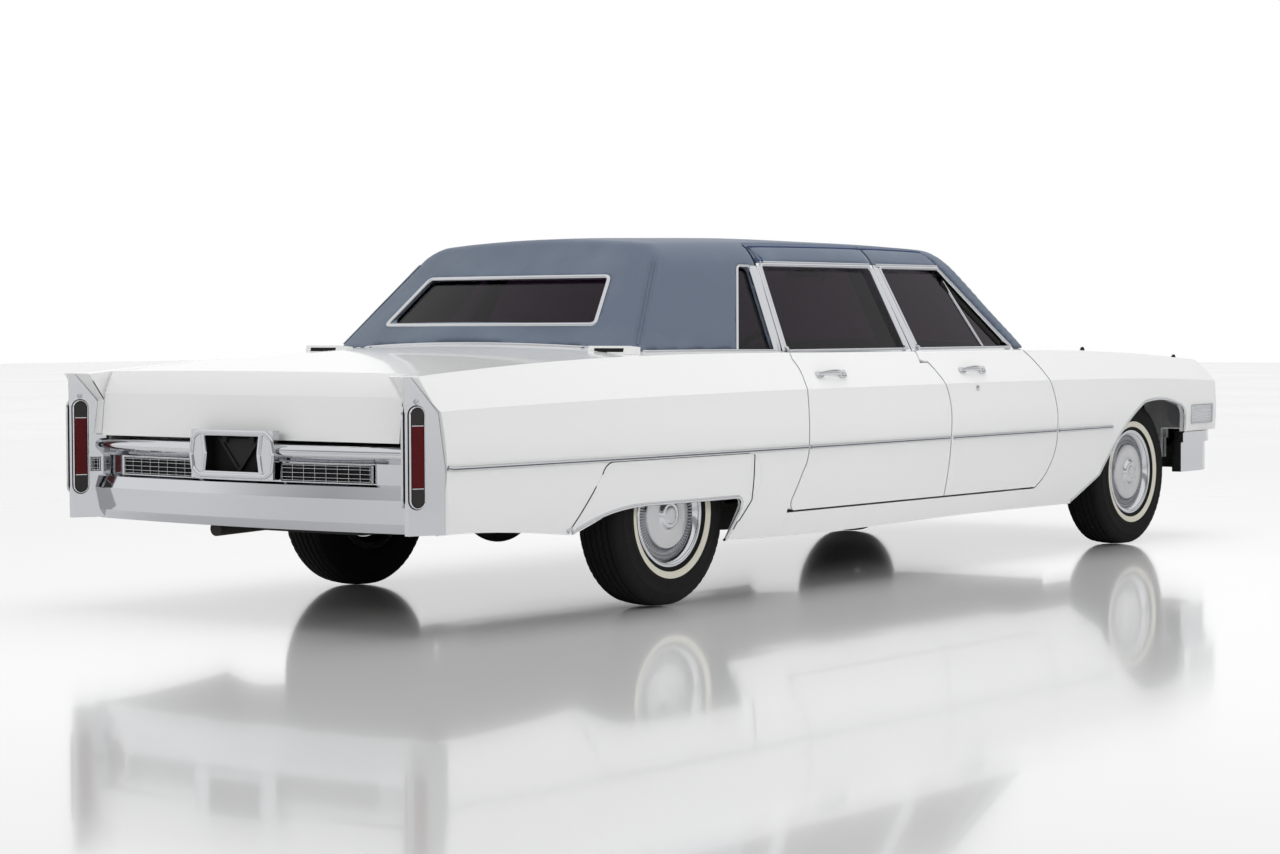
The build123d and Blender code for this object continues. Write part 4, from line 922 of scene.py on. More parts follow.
class Maker:
    """Makes swept, turned and laid pieces."""

    @staticmethod
    def sweep(
        name: str,
        spots: Sequence[Spot],
        section: Sequence[Point],
        material: bpy.types.Material,
        closed: bool = False,
    ) -> bpy.types.Object:
        """Trim of one section along a line.

        Args:
            name: The piece's name.
            spots: Points and normals to follow.
            section: Closed cross-section, across and height.
            material: Its finish.
            closed: Whether the line closes.

        Returns:
            The piece.
        """
        points: list[Vector] = []
        count, sides = len(spots), len(section)
        for i, (spot, normal) in enumerate(spots):
            before = spots[i - 1][0] if closed or i else spot
            after = spots[(i + 1) % count][0] if closed or i < count - 1 else spot
            run = (after - before).normalized()
            across = run.cross(normal).normalized()
            up = across.cross(run)
            points += [spot + across * a + up * h for a, h in section]
        faces: list[tuple[int, ...]] = []
        for i in range(count if closed else count - 1):
            here, there = i * sides, (i + 1) % count * sides
            faces += [(here + k, here + (k + 1) % sides, there + (k + 1) % sides, there + k) for k in range(sides)]
        if not closed:
            faces += [tuple(reversed(range(sides))), tuple(range((count - 1) * sides, count * sides))]
        return Forge.mesh(name, points, faces, material)

    @staticmethod
    def lay(
        name: str, rows: Sequence[Sequence[Spot]], material: bpy.types.Material, lift: float, sink: float,
        puff: float = 0.0
    ) -> bpy.types.Object:
        """Closed sheet laid over a surface.

        Args:
            name: The piece's name.
            rows: Grid of points and normals.
            material: Its finish.
            lift: How far its face stands off the surface.
            sink: How far its back lies under the surface.
            puff: Extra lift at its middle, fading to its border.

        Returns:
            The piece.
        """
        down, along = len(rows), len(rows[0])
        points: list[Vector] = []
        for i, row in enumerate(rows):
            for k, (spot, normal) in enumerate(row):
                edge = min(i, down - 1 - i) / (down - 1), min(k, along - 1 - k) / (along - 1)
                rise = min(1.0, edge[0] * 6) * min(1.0, edge[1] * 10)
                swell = math.sin(rise * math.pi / 2)
                points.append(spot + normal * (lift * (0.35 + 0.65 * swell) + puff * swell))
        points += [spot - normal * sink for row in rows for spot, normal in row]
        base = down * along
        faces: list[tuple[int, ...]] = []
        for i in range(down - 1):
            for k in range(along - 1):
                a, b, c, d = i * along + k, i * along + k + 1, (i + 1) * along + k + 1, (i + 1) * along + k
                faces += [(a, b, c, d), (base + d, base + c, base + b, base + a)]
        rim = [k for k in range(along)] + [i * along + along - 1 for i in range(1, down)]
        rim += [(down - 1) * along + k for k in range(along - 2, -1, -1)] + [i * along for i in range(down - 2, 0, -1)]
        for here, there in zip(rim, rim[1:] + rim[:1]):
            faces.append((there, here, base + here, base + there))
        return Forge.mesh(name, points, faces, material)

    @staticmethod
    def turn(
        name: str,
        centre: Vector,
        axis: Vector,
        profile: Sequence[tuple[float, float, int]],
        materials: Sequence[bpy.types.Material],
        segments: int = 96,
        wave: Callable[[float, int], Point] | None = None,
    ) -> bpy.types.Object:
        """Piece turned about an axis.

        Args:
            name: The piece's name.
            centre: Point on the axis.
            axis: Its direction.
            profile: (along the axis, radius, material number of the face that follows).
            materials: Finishes by number.
            segments: Steps round the turn.
            wave: Change along the axis and of radius, at a turn and profile number.

        Returns:
            The piece.
        """
        first = axis.orthogonal().normalized()
        second = axis.cross(first).normalized()
        points: list[Vector] = []
        for s in range(segments):
            angle = 2 * math.pi * s / segments
            spoke = first * math.cos(angle) + second * math.sin(angle)
            for k, (out, radius, _) in enumerate(profile):
                more, wider = wave(angle, k) if wave else (0.0, 0.0)
                points.append(centre + axis * (out + more) + spoke * (radius + wider))
        sides = len(profile)
        faces: list[tuple[int, ...]] = []
        numbers: list[int] = []
        for s in range(segments):
            here, there = s * sides, (s + 1) % segments * sides
            for k in range(sides - 1):
                faces.append((here + k, here + k + 1, there + k + 1, there + k))
                numbers.append(profile[k][2])
        thing = Forge.mesh(name, points, faces, materials[0], numbers=numbers)
        for material in materials[1:]:
            thing.data.materials.append(material)
        return thing

    @staticmethod
    def join(name: str, pieces: Sequence[Solid], material: bpy.types.Material) -> bpy.types.Object:
        """One piece from several lists of points and faces.

        Args:
            name: The piece's name.
            pieces: Points and faces of each.
            material: Their finish.

        Returns:
            The piece.
        """
        points: list[Vector] = []
        faces: list[tuple[int, ...]] = []
        for corners, sides in pieces:
            start = len(points)
            points += list(corners)
            faces += [tuple(start + i for i in face) for face in sides]
        return Forge.mesh(name, points, faces, material)

    @staticmethod
    def slab(corners: Sequence[Vector], depth: Vector) -> Solid:
        """Points and faces of a flat outline pushed along a depth.

        Args:
            corners: The outline.
            depth: Way and distance it is pushed.

        Returns:
            Points and faces.
        """
        count = len(corners)
        points = [Vector(c) for c in corners] + [Vector(c) + depth for c in corners]
        faces = [tuple(range(count)), tuple(reversed(range(count, 2 * count)))]
        faces += [((i + 1) % count, i, count + i, count + (i + 1) % count) for i in range(count)]
        return points, faces


@dataclass
class PaddedTop:
    """Cloth top: padded cover, welts, and the bright mouldings round it."""

    finishes: Finishes
    voxel: float = 0.013
    lift: float = 0.003
    seam_width: float = 0.022
    seam_foot: tuple[float, float, float] = (-1.672, 0.790, 1.030)
    seam_head: tuple[float, float, float] = (-1.354, 0.628, 1.361)
    rear_window: tuple[Point, ...] = ((-0.546, 1.113), (0.546, 1.113), (0.476, 1.289), (-0.476, 1.289))
    windscreen: tuple[Point, ...] = ((-0.815, 0.996), (0.815, 0.996), (0.640, 1.375), (-0.640, 1.375))
    quarter_window: tuple[Point, ...] = ((-1.103, 0.9945), (-0.871, 0.9945), (-0.804, 1.338), (-0.876, 1.338))
    pillar: tuple[Point, ...] = ((-0.868, 1.004), (-0.822, 1.004), (-0.752, 1.345), (-0.803, 1.345))

    def build(self) -> None:
        """Make the cover and everything sewn or clipped to it."""
        self.skin = Skin("roof")
        self._cover()
        for side in Side:
            self._corner_welt(side)
            self._quarter_frame(side)
            self._pillar(side)
            self._base(side)
        self._rear_window()
        self._windscreen()

    def _seam_gap(self, spot: Vector) -> float:
        """Distance of a point from the nearer corner seam.

        Args:
            spot: A point on the top.

        Returns:
            The distance.
        """
        foot, head = Vector(self.seam_foot), Vector(self.seam_head)
        place = Vector((spot.x, abs(spot.y), spot.z))
        run = head - foot
        share = min(1.0, max(0.0, (place - foot).dot(run) / run.length_squared))
        return (place - foot - run * share).length

    def _cover(self) -> None:
        """Padded cover: the shell's form softened, raised between its seams and pulled in along them."""
        shell = frame["nodes"]["roof"]
        draft = bpy.data.objects.new("top_draft", shell.data.copy())
        bpy.context.scene.collection.objects.link(draft)
        remesh = draft.modifiers.new("soften", "REMESH")
        remesh.mode = "VOXEL"
        remesh.voxel_size = self.voxel
        ease = draft.modifiers.new("ease", "SMOOTH")
        ease.iterations = 4
        ease.factor = 0.5
        graph = bpy.context.evaluated_depsgraph_get()
        data = bpy.data.meshes.new_from_object(draft.evaluated_get(graph))
        bpy.data.objects.remove(draft)
        moved: list[float] = []
        for spot, normal in [(v.co.copy(), v.normal.copy()) for v in data.vertices]:
            out = Vector((0.25 * min(0.0, spot.x + 1.2), spot.y, (spot.z - 0.7))).normalized()
            face = max(0.0, normal.dot(out) - 0.25) / 0.75
            pull = math.exp(-((self._seam_gap(spot) / self.seam_width) ** 2))
            swell = 0.0016 * math.sin(spot.x * 7.3 + 1.0) * math.sin(spot.y * 6.1)
            swell += 0.0012 * math.sin(spot.z * 23.0 + spot.x * 3.0)
            moved.extend(spot + normal * face * ((self.lift + swell) * (1 - pull) - 0.002 * pull))
        data.vertices.foreach_set("co", moved)
        data.update()
        data.name = "padded_top"
        cover = bpy.data.objects.new("padded_top", data)
        bpy.context.scene.collection.objects.link(cover)
        data.polygons.foreach_set("use_smooth", [True] * len(data.polygons))
        data.materials.clear()
        data.materials.append(self.finishes.cloth)
        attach(cover, "body")
        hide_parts("roof")
        LOG.info("piece padded_top on body")

    def _corner_welt(self, side: Side) -> None:
        """Welted seam with two rows of stitches down each rear corner.

        Args:
            side: Side of the car.
        """
        foot, head = Vector(self.seam_foot), Vector(self.seam_head)
        line: list[Spot] = []
        stitches = []
        for i in range(41):
            spot = foot.lerp(head, i / 40)
            spot.y *= side.value
            out = Vector((-0.55, side.value * 0.75, 0.55)).normalized()
            line.append(self.skin.hit(spot + out * 0.3, -out))
        line = Line.even(line)
        welt = Maker.sweep(f"corner_welt_{side.word}", line, Section.round(0.0035, 0.001, 8), self.finishes.cloth)
        Forge.settle(welt, "body", "roof_cloth", 80.0)
        for i in range(len(line) - 1):
            (here, up), (there, _) = line[i], line[i + 1]
            run = there - here
            across = run.cross(up).normalized()
            for row in (-0.014, 0.014):
                for k in range(2):
                    start = here + run * (0.5 * k + 0.08) + across * row + up * 0.0024
                    stitches.append(self._stitch(start, run.normalized() * run.length * 0.34, across, up))
        thread = Maker.join(f"corner_stitches_{side.word}", stitches, self.finishes.thread)
        Forge.settle(thread, "body", "roof_cloth", 80.0)

    @staticmethod
    def _stitch(start: Vector, run: Vector, across: Vector, up: Vector) -> Solid:
        """One raised stitch as a small wedge.

        Args:
            start: Where it begins.
            run: Way and length along it.
            across: Way across the stitch.
            up: Way off the cloth.

        Returns:
            Points and faces.
        """
        half = across * 0.0012
        middle = start + run / 2 + up * 0.0014
        points = [start - half, start + half, middle + half, middle - half, start + run + half, start + run - half]
        return points, [(0, 1, 2, 3), (3, 2, 4, 5), (0, 3, 5), (1, 4, 2), (0, 5, 4, 1)]

    def _rear_window(self) -> None:
        """Bright moulding round the rear window."""
        line = Line.loop(self.rear_window, 0.020, 0.009)
        spots = Line.even([self.skin.rear(y, z) for y, z in line], True)
        ring = Maker.sweep("rear_window_moulding", spots, Section.crowned(0.019, 0.010), self.finishes.chrome, True)
        Forge.settle(ring, "body", "bright_chrome")

    def _windscreen(self) -> None:
        """Bright moulding round the windscreen."""
        line = Line.loop(self.windscreen, 0.020, 0.009)
        spots = Line.even([self.skin.nose(y, z) for y, z in line], True)
        ring = Maker.sweep("windscreen_moulding", spots, Section.crowned(0.020, 0.009), self.finishes.chrome, True)
        Forge.settle(ring, "body", "bright_chrome")

    def _quarter_frame(self, side: Side) -> None:
        """Thin bright frame round the quarter window.

        Args:
            side: Side of the car.
        """
        line = Line.loop(self.quarter_window, 0.018, 0.007)
        spots = Line.even([self.skin.side(x, z, side) for x, z in line], True)
        ring = Maker.sweep(
            f"quarter_frame_{side.word}", spots, Section.crowned(0.013, 0.008), self.finishes.chrome, True
        )
        Forge.settle(ring, "body", "bright_chrome")

    def _pillar(self, side: Side) -> None:
        """Bright cover on the body's half of the rear pillar."""
        DoorTrim.plate(f"rear_pillar_{side.word}", self.pillar, self.skin, side, "body", self.finishes.chrome, 0.007)

    def _base(self, side: Side) -> None:
        """Bright moulding where the cloth meets the paint, round to the middle of the deck.

        Args:
            side: Side of the car.
        """
        ground = Skin(f"quarter_{side.word}", "rear_deck")
        spots: list[Spot] = []
        for i in range(31):
            x = -1.115 - (1.640 - 1.115) * i / 30
            spots.append(self._foot(ground, self.skin.side(x, 1.030, side)))
        for i in range(41):
            y = side.value * 0.775 * (1 - i / 40)
            spots.append(self._foot(ground, self.skin.rear(y, 1.050)))
        strip = Maker.sweep(
            f"top_foot_moulding_{side.word}", Line.even(spots), Section.crowned(0.016, 0.011), self.finishes.chrome
        )
        Forge.settle(strip, "body", "bright_chrome")

    @staticmethod
    def _foot(ground: Skin, wall: Spot) -> Spot:
        """Point on the paint just outside a point on the cloth's wall.

        Args:
            ground: The painted surface.
            wall: Spot on the cloth.

        Returns:
            The spot.
        """
        point, normal = wall
        level = Vector((normal.x, normal.y, 0.0)).normalized()
        base, up = ground.top(point.x + level.x * 0.024, point.y + level.y * 0.024)
        return base, (up + level * 0.8).normalized()


class DoorKind(Enum):
    """The two doors of one side."""

    FRONT = "front"
    REAR = "rear"


@dataclass
class DoorTrim:
    """Bright frame, cloth header, side strip and pull of one door."""

    finishes: Finishes
    kind: DoorKind
    side: Side
    window: tuple[Point, ...]
    plates: tuple[tuple[Point, ...], ...]
    strip: Point
    handle_x: float
    header_back: tuple[float, float, float]
    header_nose: tuple[float, float, float]
    strip_z: float = 0.600
    handle_z: float = 0.893
    divider: tuple[Point, Point] = ((0.797, 0.997), (0.7055, 1.294))
    seal: tuple[Point, Point] = ((0.968, 1.008), (0.690, 1.294))
    foot_x: Point = (0.1465, 0.1955)
    foot_low: Point = (0.9475, 0.9360)
    foot_top: float = 0.983

    def build(self) -> None:
        """Make all the door's pieces."""
        self.body = f"door_{self.kind.value}_{self.side.word}"
        self.skin = Skin(self.body)
        self._window_frame()
        for i, corners in enumerate(self.plates):
            DoorTrim.plate(f"{self.body}_pillar_{i}", corners, self.skin, self.side, self.body, self.finishes.chrome)
        self._header()
        self._strip()
        self._handle()
        if self.kind is DoorKind.FRONT:
            self._vent()
            self._post_foot()

    @staticmethod
    def plate(
        name: str,
        corners: Sequence[Point],
        skin: Skin,
        side: Side,
        body: str,
        material: bpy.types.Material,
        lift: float = 0.0012,
        belt: float = 0.993,
    ) -> None:
        """Polished pillar cover, gently crowned, with a shallow groove down it.

        Args:
            name: The piece's name.
            corners: Foot back, foot nose, head nose, head back in side view.
            skin: Surface it lies on.
            side: Side of the car.
            body: Body it rides on.
            material: Its finish.
            lift: How far it stands off.
            belt: Height that the foot is carried straight down to.
        """
        back, nose, nose_top, back_top = (Vector(c) for c in corners)
        rows = []
        for i in range(25):
            first, last = back.lerp(back_top, i / 24), nose.lerp(nose_top, i / 24)
            spots = skin.row([tuple(first.lerp(last, k / 10)) for k in range(11)], side)
            rows.append([(p, n) for p, n in Line.even(spots)])
        for _ in range(round((back.y - belt) / (back_top.y - back.y) * 24)):
            rows.insert(0, [(low[0] * 2 - high[0], low[1]) for low, high in zip(rows[0], rows[1])])
        groove = [
            (0.0, 0.002, 0.0032, 0.0036, 0.0036, 0.0036, 0.0036, 0.0020, 0.0034, 0.0030, 0.0)[k] for k in range(11)
        ]
        lifted = [[(p + n * groove[k], n) for k, (p, n) in enumerate(row)] for row in rows]
        piece = Maker.lay(name, lifted, material, lift, 0.006)
        Forge.settle(piece, body, "bright_chrome", 50.0)

    def _window_frame(self) -> None:
        """Bright reveal round the window."""
        glass = Skin(f"door_{self.kind.value}_glass_{self.side.word}")
        spots: list[Spot] = []
        for x, z in Line.loop(self.window, 0.018, 0.007):
            point, normal = self.skin.side(x, z, self.side)
            if z < 1.005:
                point, normal = glass.side(x, 1.012, self.side)
                point = Vector((x, point.y + self.side.value * (0.013 + 0.502 * (1.012 - z)), z))
            spots.append((point, normal))
        spots = Line.even(spots, True)
        ring = Maker.sweep(
            f"{self.body}_window_frame", spots, Section.crowned(0.015, 0.008), self.finishes.chrome, True
        )
        Forge.settle(ring, self.body, "bright_chrome")

    def _edge(self, edge: tuple[float, float, float], spot: Vector) -> float:
        """Where a leaning edge of the frame stands at a point's height and depth."""
        foot, lean, inset = edge
        return foot + lean * (spot.z - BELT_Z) / 0.369 + 0.45 * (0.905 - abs(spot.y)) + inset

    def _header(self) -> None:
        """Padded cloth over the window header, with a welt along its edges."""
        rows: list[list[Spot]] = []
        for i in range(15):
            angle = 28.6 + (35.3 - 28.6) * i / 14
            row: list[Spot] = []
            ends = []
            for edge in (self.header_back, self.header_nose):
                x = edge[0]
                for _ in range(4):
                    x = self._edge(edge, self.skin.round(x, angle, self.side)[0])
                ends.append(x)
            for k in range(41):
                row.append(self.skin.round(ends[0] + (ends[1] - ends[0]) * k / 40, angle, self.side))
            rows.append(Line.even(row))
        cover = Maker.lay(f"{self.body}_header_cloth", rows, self.finishes.cloth, 0.003, 0.004, 0.003)
        Forge.settle(cover, self.body, "roof_cloth", 60.0)
        border = rows[-1] + [row[-1] for row in reversed(rows[:-1])]
        if self.kind is DoorKind.REAR:
            border = [row[0] for row in rows] + rows[-1][1:]
        welt = Maker.sweep(
            f"{self.body}_header_welt", Line.even(border), Section.round(0.0042, 0.0035, 8), self.finishes.piping
        )
        Forge.settle(welt, self.body, "roof_cloth", 80.0)
        low = [self.skin.side(rows[0][k][0].x, 1.3595, self.side) for k in range(1, 40)]
        rail = Maker.sweep(
            f"{self.body}_header_rail", Line.even(low), Section.grooved(0.016, 0.006), self.finishes.chrome
        )
        Forge.settle(rail, self.body, "bright_chrome")

    def _strip(self) -> None:
        """Side moulding along the door."""
        count = 40
        first, last = self.strip
        spots = [self.skin.side(first + (last - first) * i / count, self.strip_z, self.side) for i in range(count + 1)]
        strip = Maker.sweep(
            f"{self.body}_moulding", Line.even(spots), Section.grooved(0.017, 0.0085), self.finishes.chrome
        )
        Forge.settle(strip, self.body, "bright_chrome")

    def _handle(self) -> None:
        """Pull with tapered ends on two feet, a push button and the lock below the front one."""
        node = f"door_{self.kind.value}_handle_{self.side.word}"
        mid = self.handle_x + 0.095
        spots: list[Spot] = []
        sizes: list[float] = []
        for i in range(41):
            share = i / 40
            x = self.handle_x + 0.190 * share
            point, normal = self.skin.side(x, self.handle_z, self.side)
            arch = math.sin(math.pi * share) ** 0.5
            spots.append((point + normal * (0.003 + 0.020 * arch), normal))
            sizes.append(0.55 + 0.45 * arch)
        points: list[Vector] = []
        faces: list[tuple[int, ...]] = []
        sides = 12
        for (spot, normal), size in zip(Line.even(spots), sizes):
            across = Vector((0.0, 0.0, 1.0))
            for k in range(sides):
                turn = 2 * math.pi * k / sides
                points.append(spot + across * 0.0115 * size * math.cos(turn) + normal * 0.006 * size * math.sin(turn))
        for i in range(len(spots) - 1):
            here, there = i * sides, (i + 1) * sides
            faces += [(here + k, here + (k + 1) % sides, there + (k + 1) % sides, there + k) for k in range(sides)]
        faces += [tuple(range(sides)), tuple(range(len(points) - sides, len(points)))]
        pieces = [(points, faces)]
        for x, wide, tall, deep in (
            (self.handle_x - 0.012, 0.050, 0.030, 0.010), (self.handle_x + 0.150, 0.056, 0.036, 0.013)
        ):
            pieces.append(self._boss(x, self.handle_z, wide, tall, deep))
        pieces.append(self._boss(self.handle_x + 0.166, self.handle_z, 0.024, 0.024, 0.021))
        pull = Maker.join(f"{self.body}_pull", pieces, self.finishes.chrome)
        Forge.settle(pull, self.body, "bright_chrome")
        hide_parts(node)
        if self.kind is DoorKind.FRONT:
            lock = Maker.join(
                f"{self.body}_lock",
                [self._boss(mid - 0.010, self.handle_z - 0.078, 0.026, 0.026, 0.005)],
                self.finishes.chrome,
            )
            Forge.settle(lock, self.body, "bright_chrome")

    def _boss(self, x: float, z: float, wide: float, tall: float, deep: float) -> Solid:
        """Rounded boss standing on the door.

        Args:
            x: Its rear end.
            z: Its middle height.
            wide: Length along the car.
            tall: Height.
            deep: How far it stands out.

        Returns:
            Points and faces.
        """
        point, normal = self.skin.side(x + wide / 2, z, self.side)
        along = Vector((1.0, 0.0, 0.0)) - normal * normal.x
        up = normal.cross(along)
        points: list[Vector] = []
        faces: list[tuple[int, ...]] = []
        rings = ((1.0, -0.004), (1.0, deep * 0.55), (0.86, deep * 0.88), (0.6, deep))
        for share, out in rings:
            for k in range(20):
                turn = 2 * math.pi * k / 20
                cosine, sine = math.cos(turn), math.sin(turn)
                bulge = 1 / (abs(cosine) ** 4 + abs(sine) ** 4) ** 0.25
                points.append(
                    point
                    + along * (wide / 2 * share * cosine * bulge)
                    + up * (tall / 2 * share * sine * bulge)
                    + normal * out
                )
        for i in range(len(rings) - 1):
            faces += [
                (i * 20 + k, i * 20 + (k + 1) % 20, (i + 1) * 20 + (k + 1) % 20, (i + 1) * 20 + k) for k in range(20)
            ]
        faces.append(tuple(range(60, 80)))
        return points, faces

    def _post_foot(self) -> None:
        """Painted corner of the door under the middle post."""
        rows: list[list[Spot]] = []
        out = Vector((0.0, self.side.value * 0.884, 0.468))
        for i in range(6):
            row: list[Spot] = []
            for k in range(7):
                x = self.foot_x[0] + (self.foot_x[1] - self.foot_x[0]) * k / 6
                low = self.foot_low[0] + (self.foot_low[1] - self.foot_low[0]) * k / 6
                z = low + (self.foot_top - low) * i / 5
                row.append((Vector((x, self.side.value * (0.9552 - 0.53 * (z - 0.93)), z)), out))
            rows.append(row)
        corner = Maker.lay(f"{self.body}_corner", rows, self.finishes.paint, 0.0004, 0.016)
        Forge.settle(corner, self.body, "white_paint", 50.0)

    def _on_glass(self, glass: Skin, ends: tuple[Point, Point]) -> list[Spot]:
        """Even spots on the glass between two places in side view.

        Args:
            glass: The window's surface.
            ends: First and last place.

        Returns:
            The spots.
        """
        (x, z), (end_x, end_z) = ends
        return Line.even(
            [glass.side(x + (end_x - x) * i / 20, z + (end_z - z) * i / 20, self.side) for i in range(21)]
        )

    def _vent(self) -> None:
        """Dark seal along the windscreen pillar and bright divider of the vent window."""
        glass = Skin(f"door_front_glass_{self.side.word}")
        edge, spots = self._on_glass(glass, self.seal), self._on_glass(glass, self.divider)
        seal = Maker.sweep(f"{self.body}_vent_seal", edge, Section.crowned(0.045, 0.008), self.finishes.black)
        Forge.settle(seal, self.body, "black_metal")
        bar = Maker.sweep(f"{self.body}_vent_divider", spots, Section.crowned(0.014, 0.009), self.finishes.chrome)
        Forge.settle(bar, self.body, "bright_chrome")


@dataclass
class BodyTrim:
    """Mouldings along the lower body: side strips, arch and skirt lips, fender nubs, a black cord painted as the skirt
    seam's shadow and black sheets painted as the scoop slots' shade.
    """

    finishes: Finishes
    strip_z: float = 0.600
    quarter_strip: Point = (-2.985, -0.818)
    fender_strip: Point = (1.267, 1.807)
    arch: tuple[tuple[float, ...], ...] = (
        (1.506, 0.251), (1.733, 0.369), (2.151, 0.706, 1.911, 0.570), (2.541, 0.690, 2.351, 0.718),
        (2.617, 0.610, 2.603, 0.665), (2.617, 0.520), (2.519, 0.339, 2.586, 0.418),
    )
    skirt_edge: tuple[tuple[float, ...], ...] = (
        (-2.284, 0.306), (-1.856, 0.411, -2.088, 0.384), (-1.297, 0.411), (-1.249, 0.372, -1.258, 0.404),
        (-1.324, 0.203),
    )
    skirt_seam: tuple[tuple[float, ...], ...] = (
        (-2.284, 0.317), (-2.139, 0.548), (-2.074, 0.591, -2.116, 0.580), (-1.234, 0.591), (-1.194, 0.582),
        (-1.180, 0.400), (-1.309, 0.223),
    )
    nubs: tuple[float, float] = (1.743, 2.700)

    def build(self) -> None:
        """Make both sides."""
        for side in Side:
            quarter = Skin(f"quarter_{side.word}", "skirts")
            fender = Skin(f"fender_{side.word}")
            self._strip("quarter", self.quarter_strip, quarter, side)
            self._strip("fender", self.fender_strip, fender, side)
            self._lip("arch_lip", Line.shift(Line.run(self.arch), 0.006), fender, side)
            self._lip("skirt_lip", Line.shift(Line.run(self.skirt_edge), 0.007), quarter, side)
            self._seam(quarter, side)
            self._slot(side)
            for i, x in enumerate(self.nubs):
                self._nub(i, x, fender, side)

    def _strip(self, name: str, ends: Point, skin: Skin, side: Side) -> None:
        """Grooved bright strip along the side.

        Args:
            name: Word in its name.
            ends: Its back and nose end.
            skin: Surface it lies on.
            side: Side of the car.
        """
        count = 60
        spots = [skin.side(ends[0] + (ends[1] - ends[0]) * i / count, self.strip_z, side) for i in range(count + 1)]
        strip = Maker.sweep(
            f"{name}_moulding_{side.word}", Line.even(spots), Section.grooved(0.017, 0.0085), self.finishes.chrome
        )
        Forge.settle(strip, "body", "bright_chrome")

    def _lip(self, name: str, line: Sequence[Point], skin: Skin, side: Side) -> None:
        """Bright lip round a wheel opening.

        Args:
            name: Word in its name.
            line: Its places in side view.
            skin: Surface it lies on.
            side: Side of the car.
        """
        spots = Line.even([skin.side(x, z, side) for x, z in line])
        lip = Maker.sweep(f"{name}_{side.word}", spots, Section.crowned(0.015, 0.006, 0.004), self.finishes.chrome)
        Forge.settle(lip, "body", "bright_chrome")

    def _seam(self, skin: Skin, side: Side) -> None:
        """Black cord along the skirt's shut line: painted shadow of the panel gap.

        Args:
            skin: Surface it lies on.
            side: Side of the car.
        """
        spots = Line.even([skin.side(x, z, side) for x, z in Line.run(self.skirt_seam, 0.02)])
        # A thin black cord standing on the paint along the skirt's gap: painted shadow of the seam.
        seam = Maker.sweep(f"skirt_seam_{side.word}", spots, Section.crowned(0.0044, 0.0030), self.finishes.black)
        Forge.settle(seam, "body", "black_metal")

    def _slot(self, side: Side) -> None:
        """Black sheet laid on the deck scoop's rear face: painted shade of the louvre slot's opening.

        Args:
            side: Side of the car.
        """
        skin = Skin("deck_scoops")
        rows = []
        for z in (0.999, 1.004, 1.009, 1.014):
            rows.append([skin.rear(side.value * (0.690 + 0.145 * k / 20), z) for k in range(21)])
        # A flat black sheet on the scoop's face, not an opening: painted shade of the slot.
        slot = Maker.lay(f"scoop_slot_{side.word}", [Line.even(r) for r in rows], self.finishes.black, 0.0008, 0.003)
        Forge.settle(slot, "body", "black_metal")

    def _nub(self, number: int, x: float, skin: Skin, side: Side) -> None:
        """Small black nub on the fender's top.

        Args:
            number: Which one it is.
            x: Its place along the car.
            skin: Surface it lies on.
            side: Side of the car.
        """
        spot, normal = skin.top(x, side.value * 0.872)
        profile = (
            (-0.004, 0.012, 0),
            (0.003, 0.012, 0),
            (0.006, 0.0095, 0),
            (0.011, 0.008, 0),
            (0.014, 0.005, 0),
            (0.015, 0.0001, 0),
        )
        nub = Maker.turn(f"fender_nub_{number}_{side.word}", spot, normal, profile, (self.finishes.black,), 24)
        Forge.settle(nub, "body", "black_metal")


class Axle(Enum):
    """Which axle a wheel is on; the value is its place along the car."""

    FRONT = 2.211
    REAR = -1.594


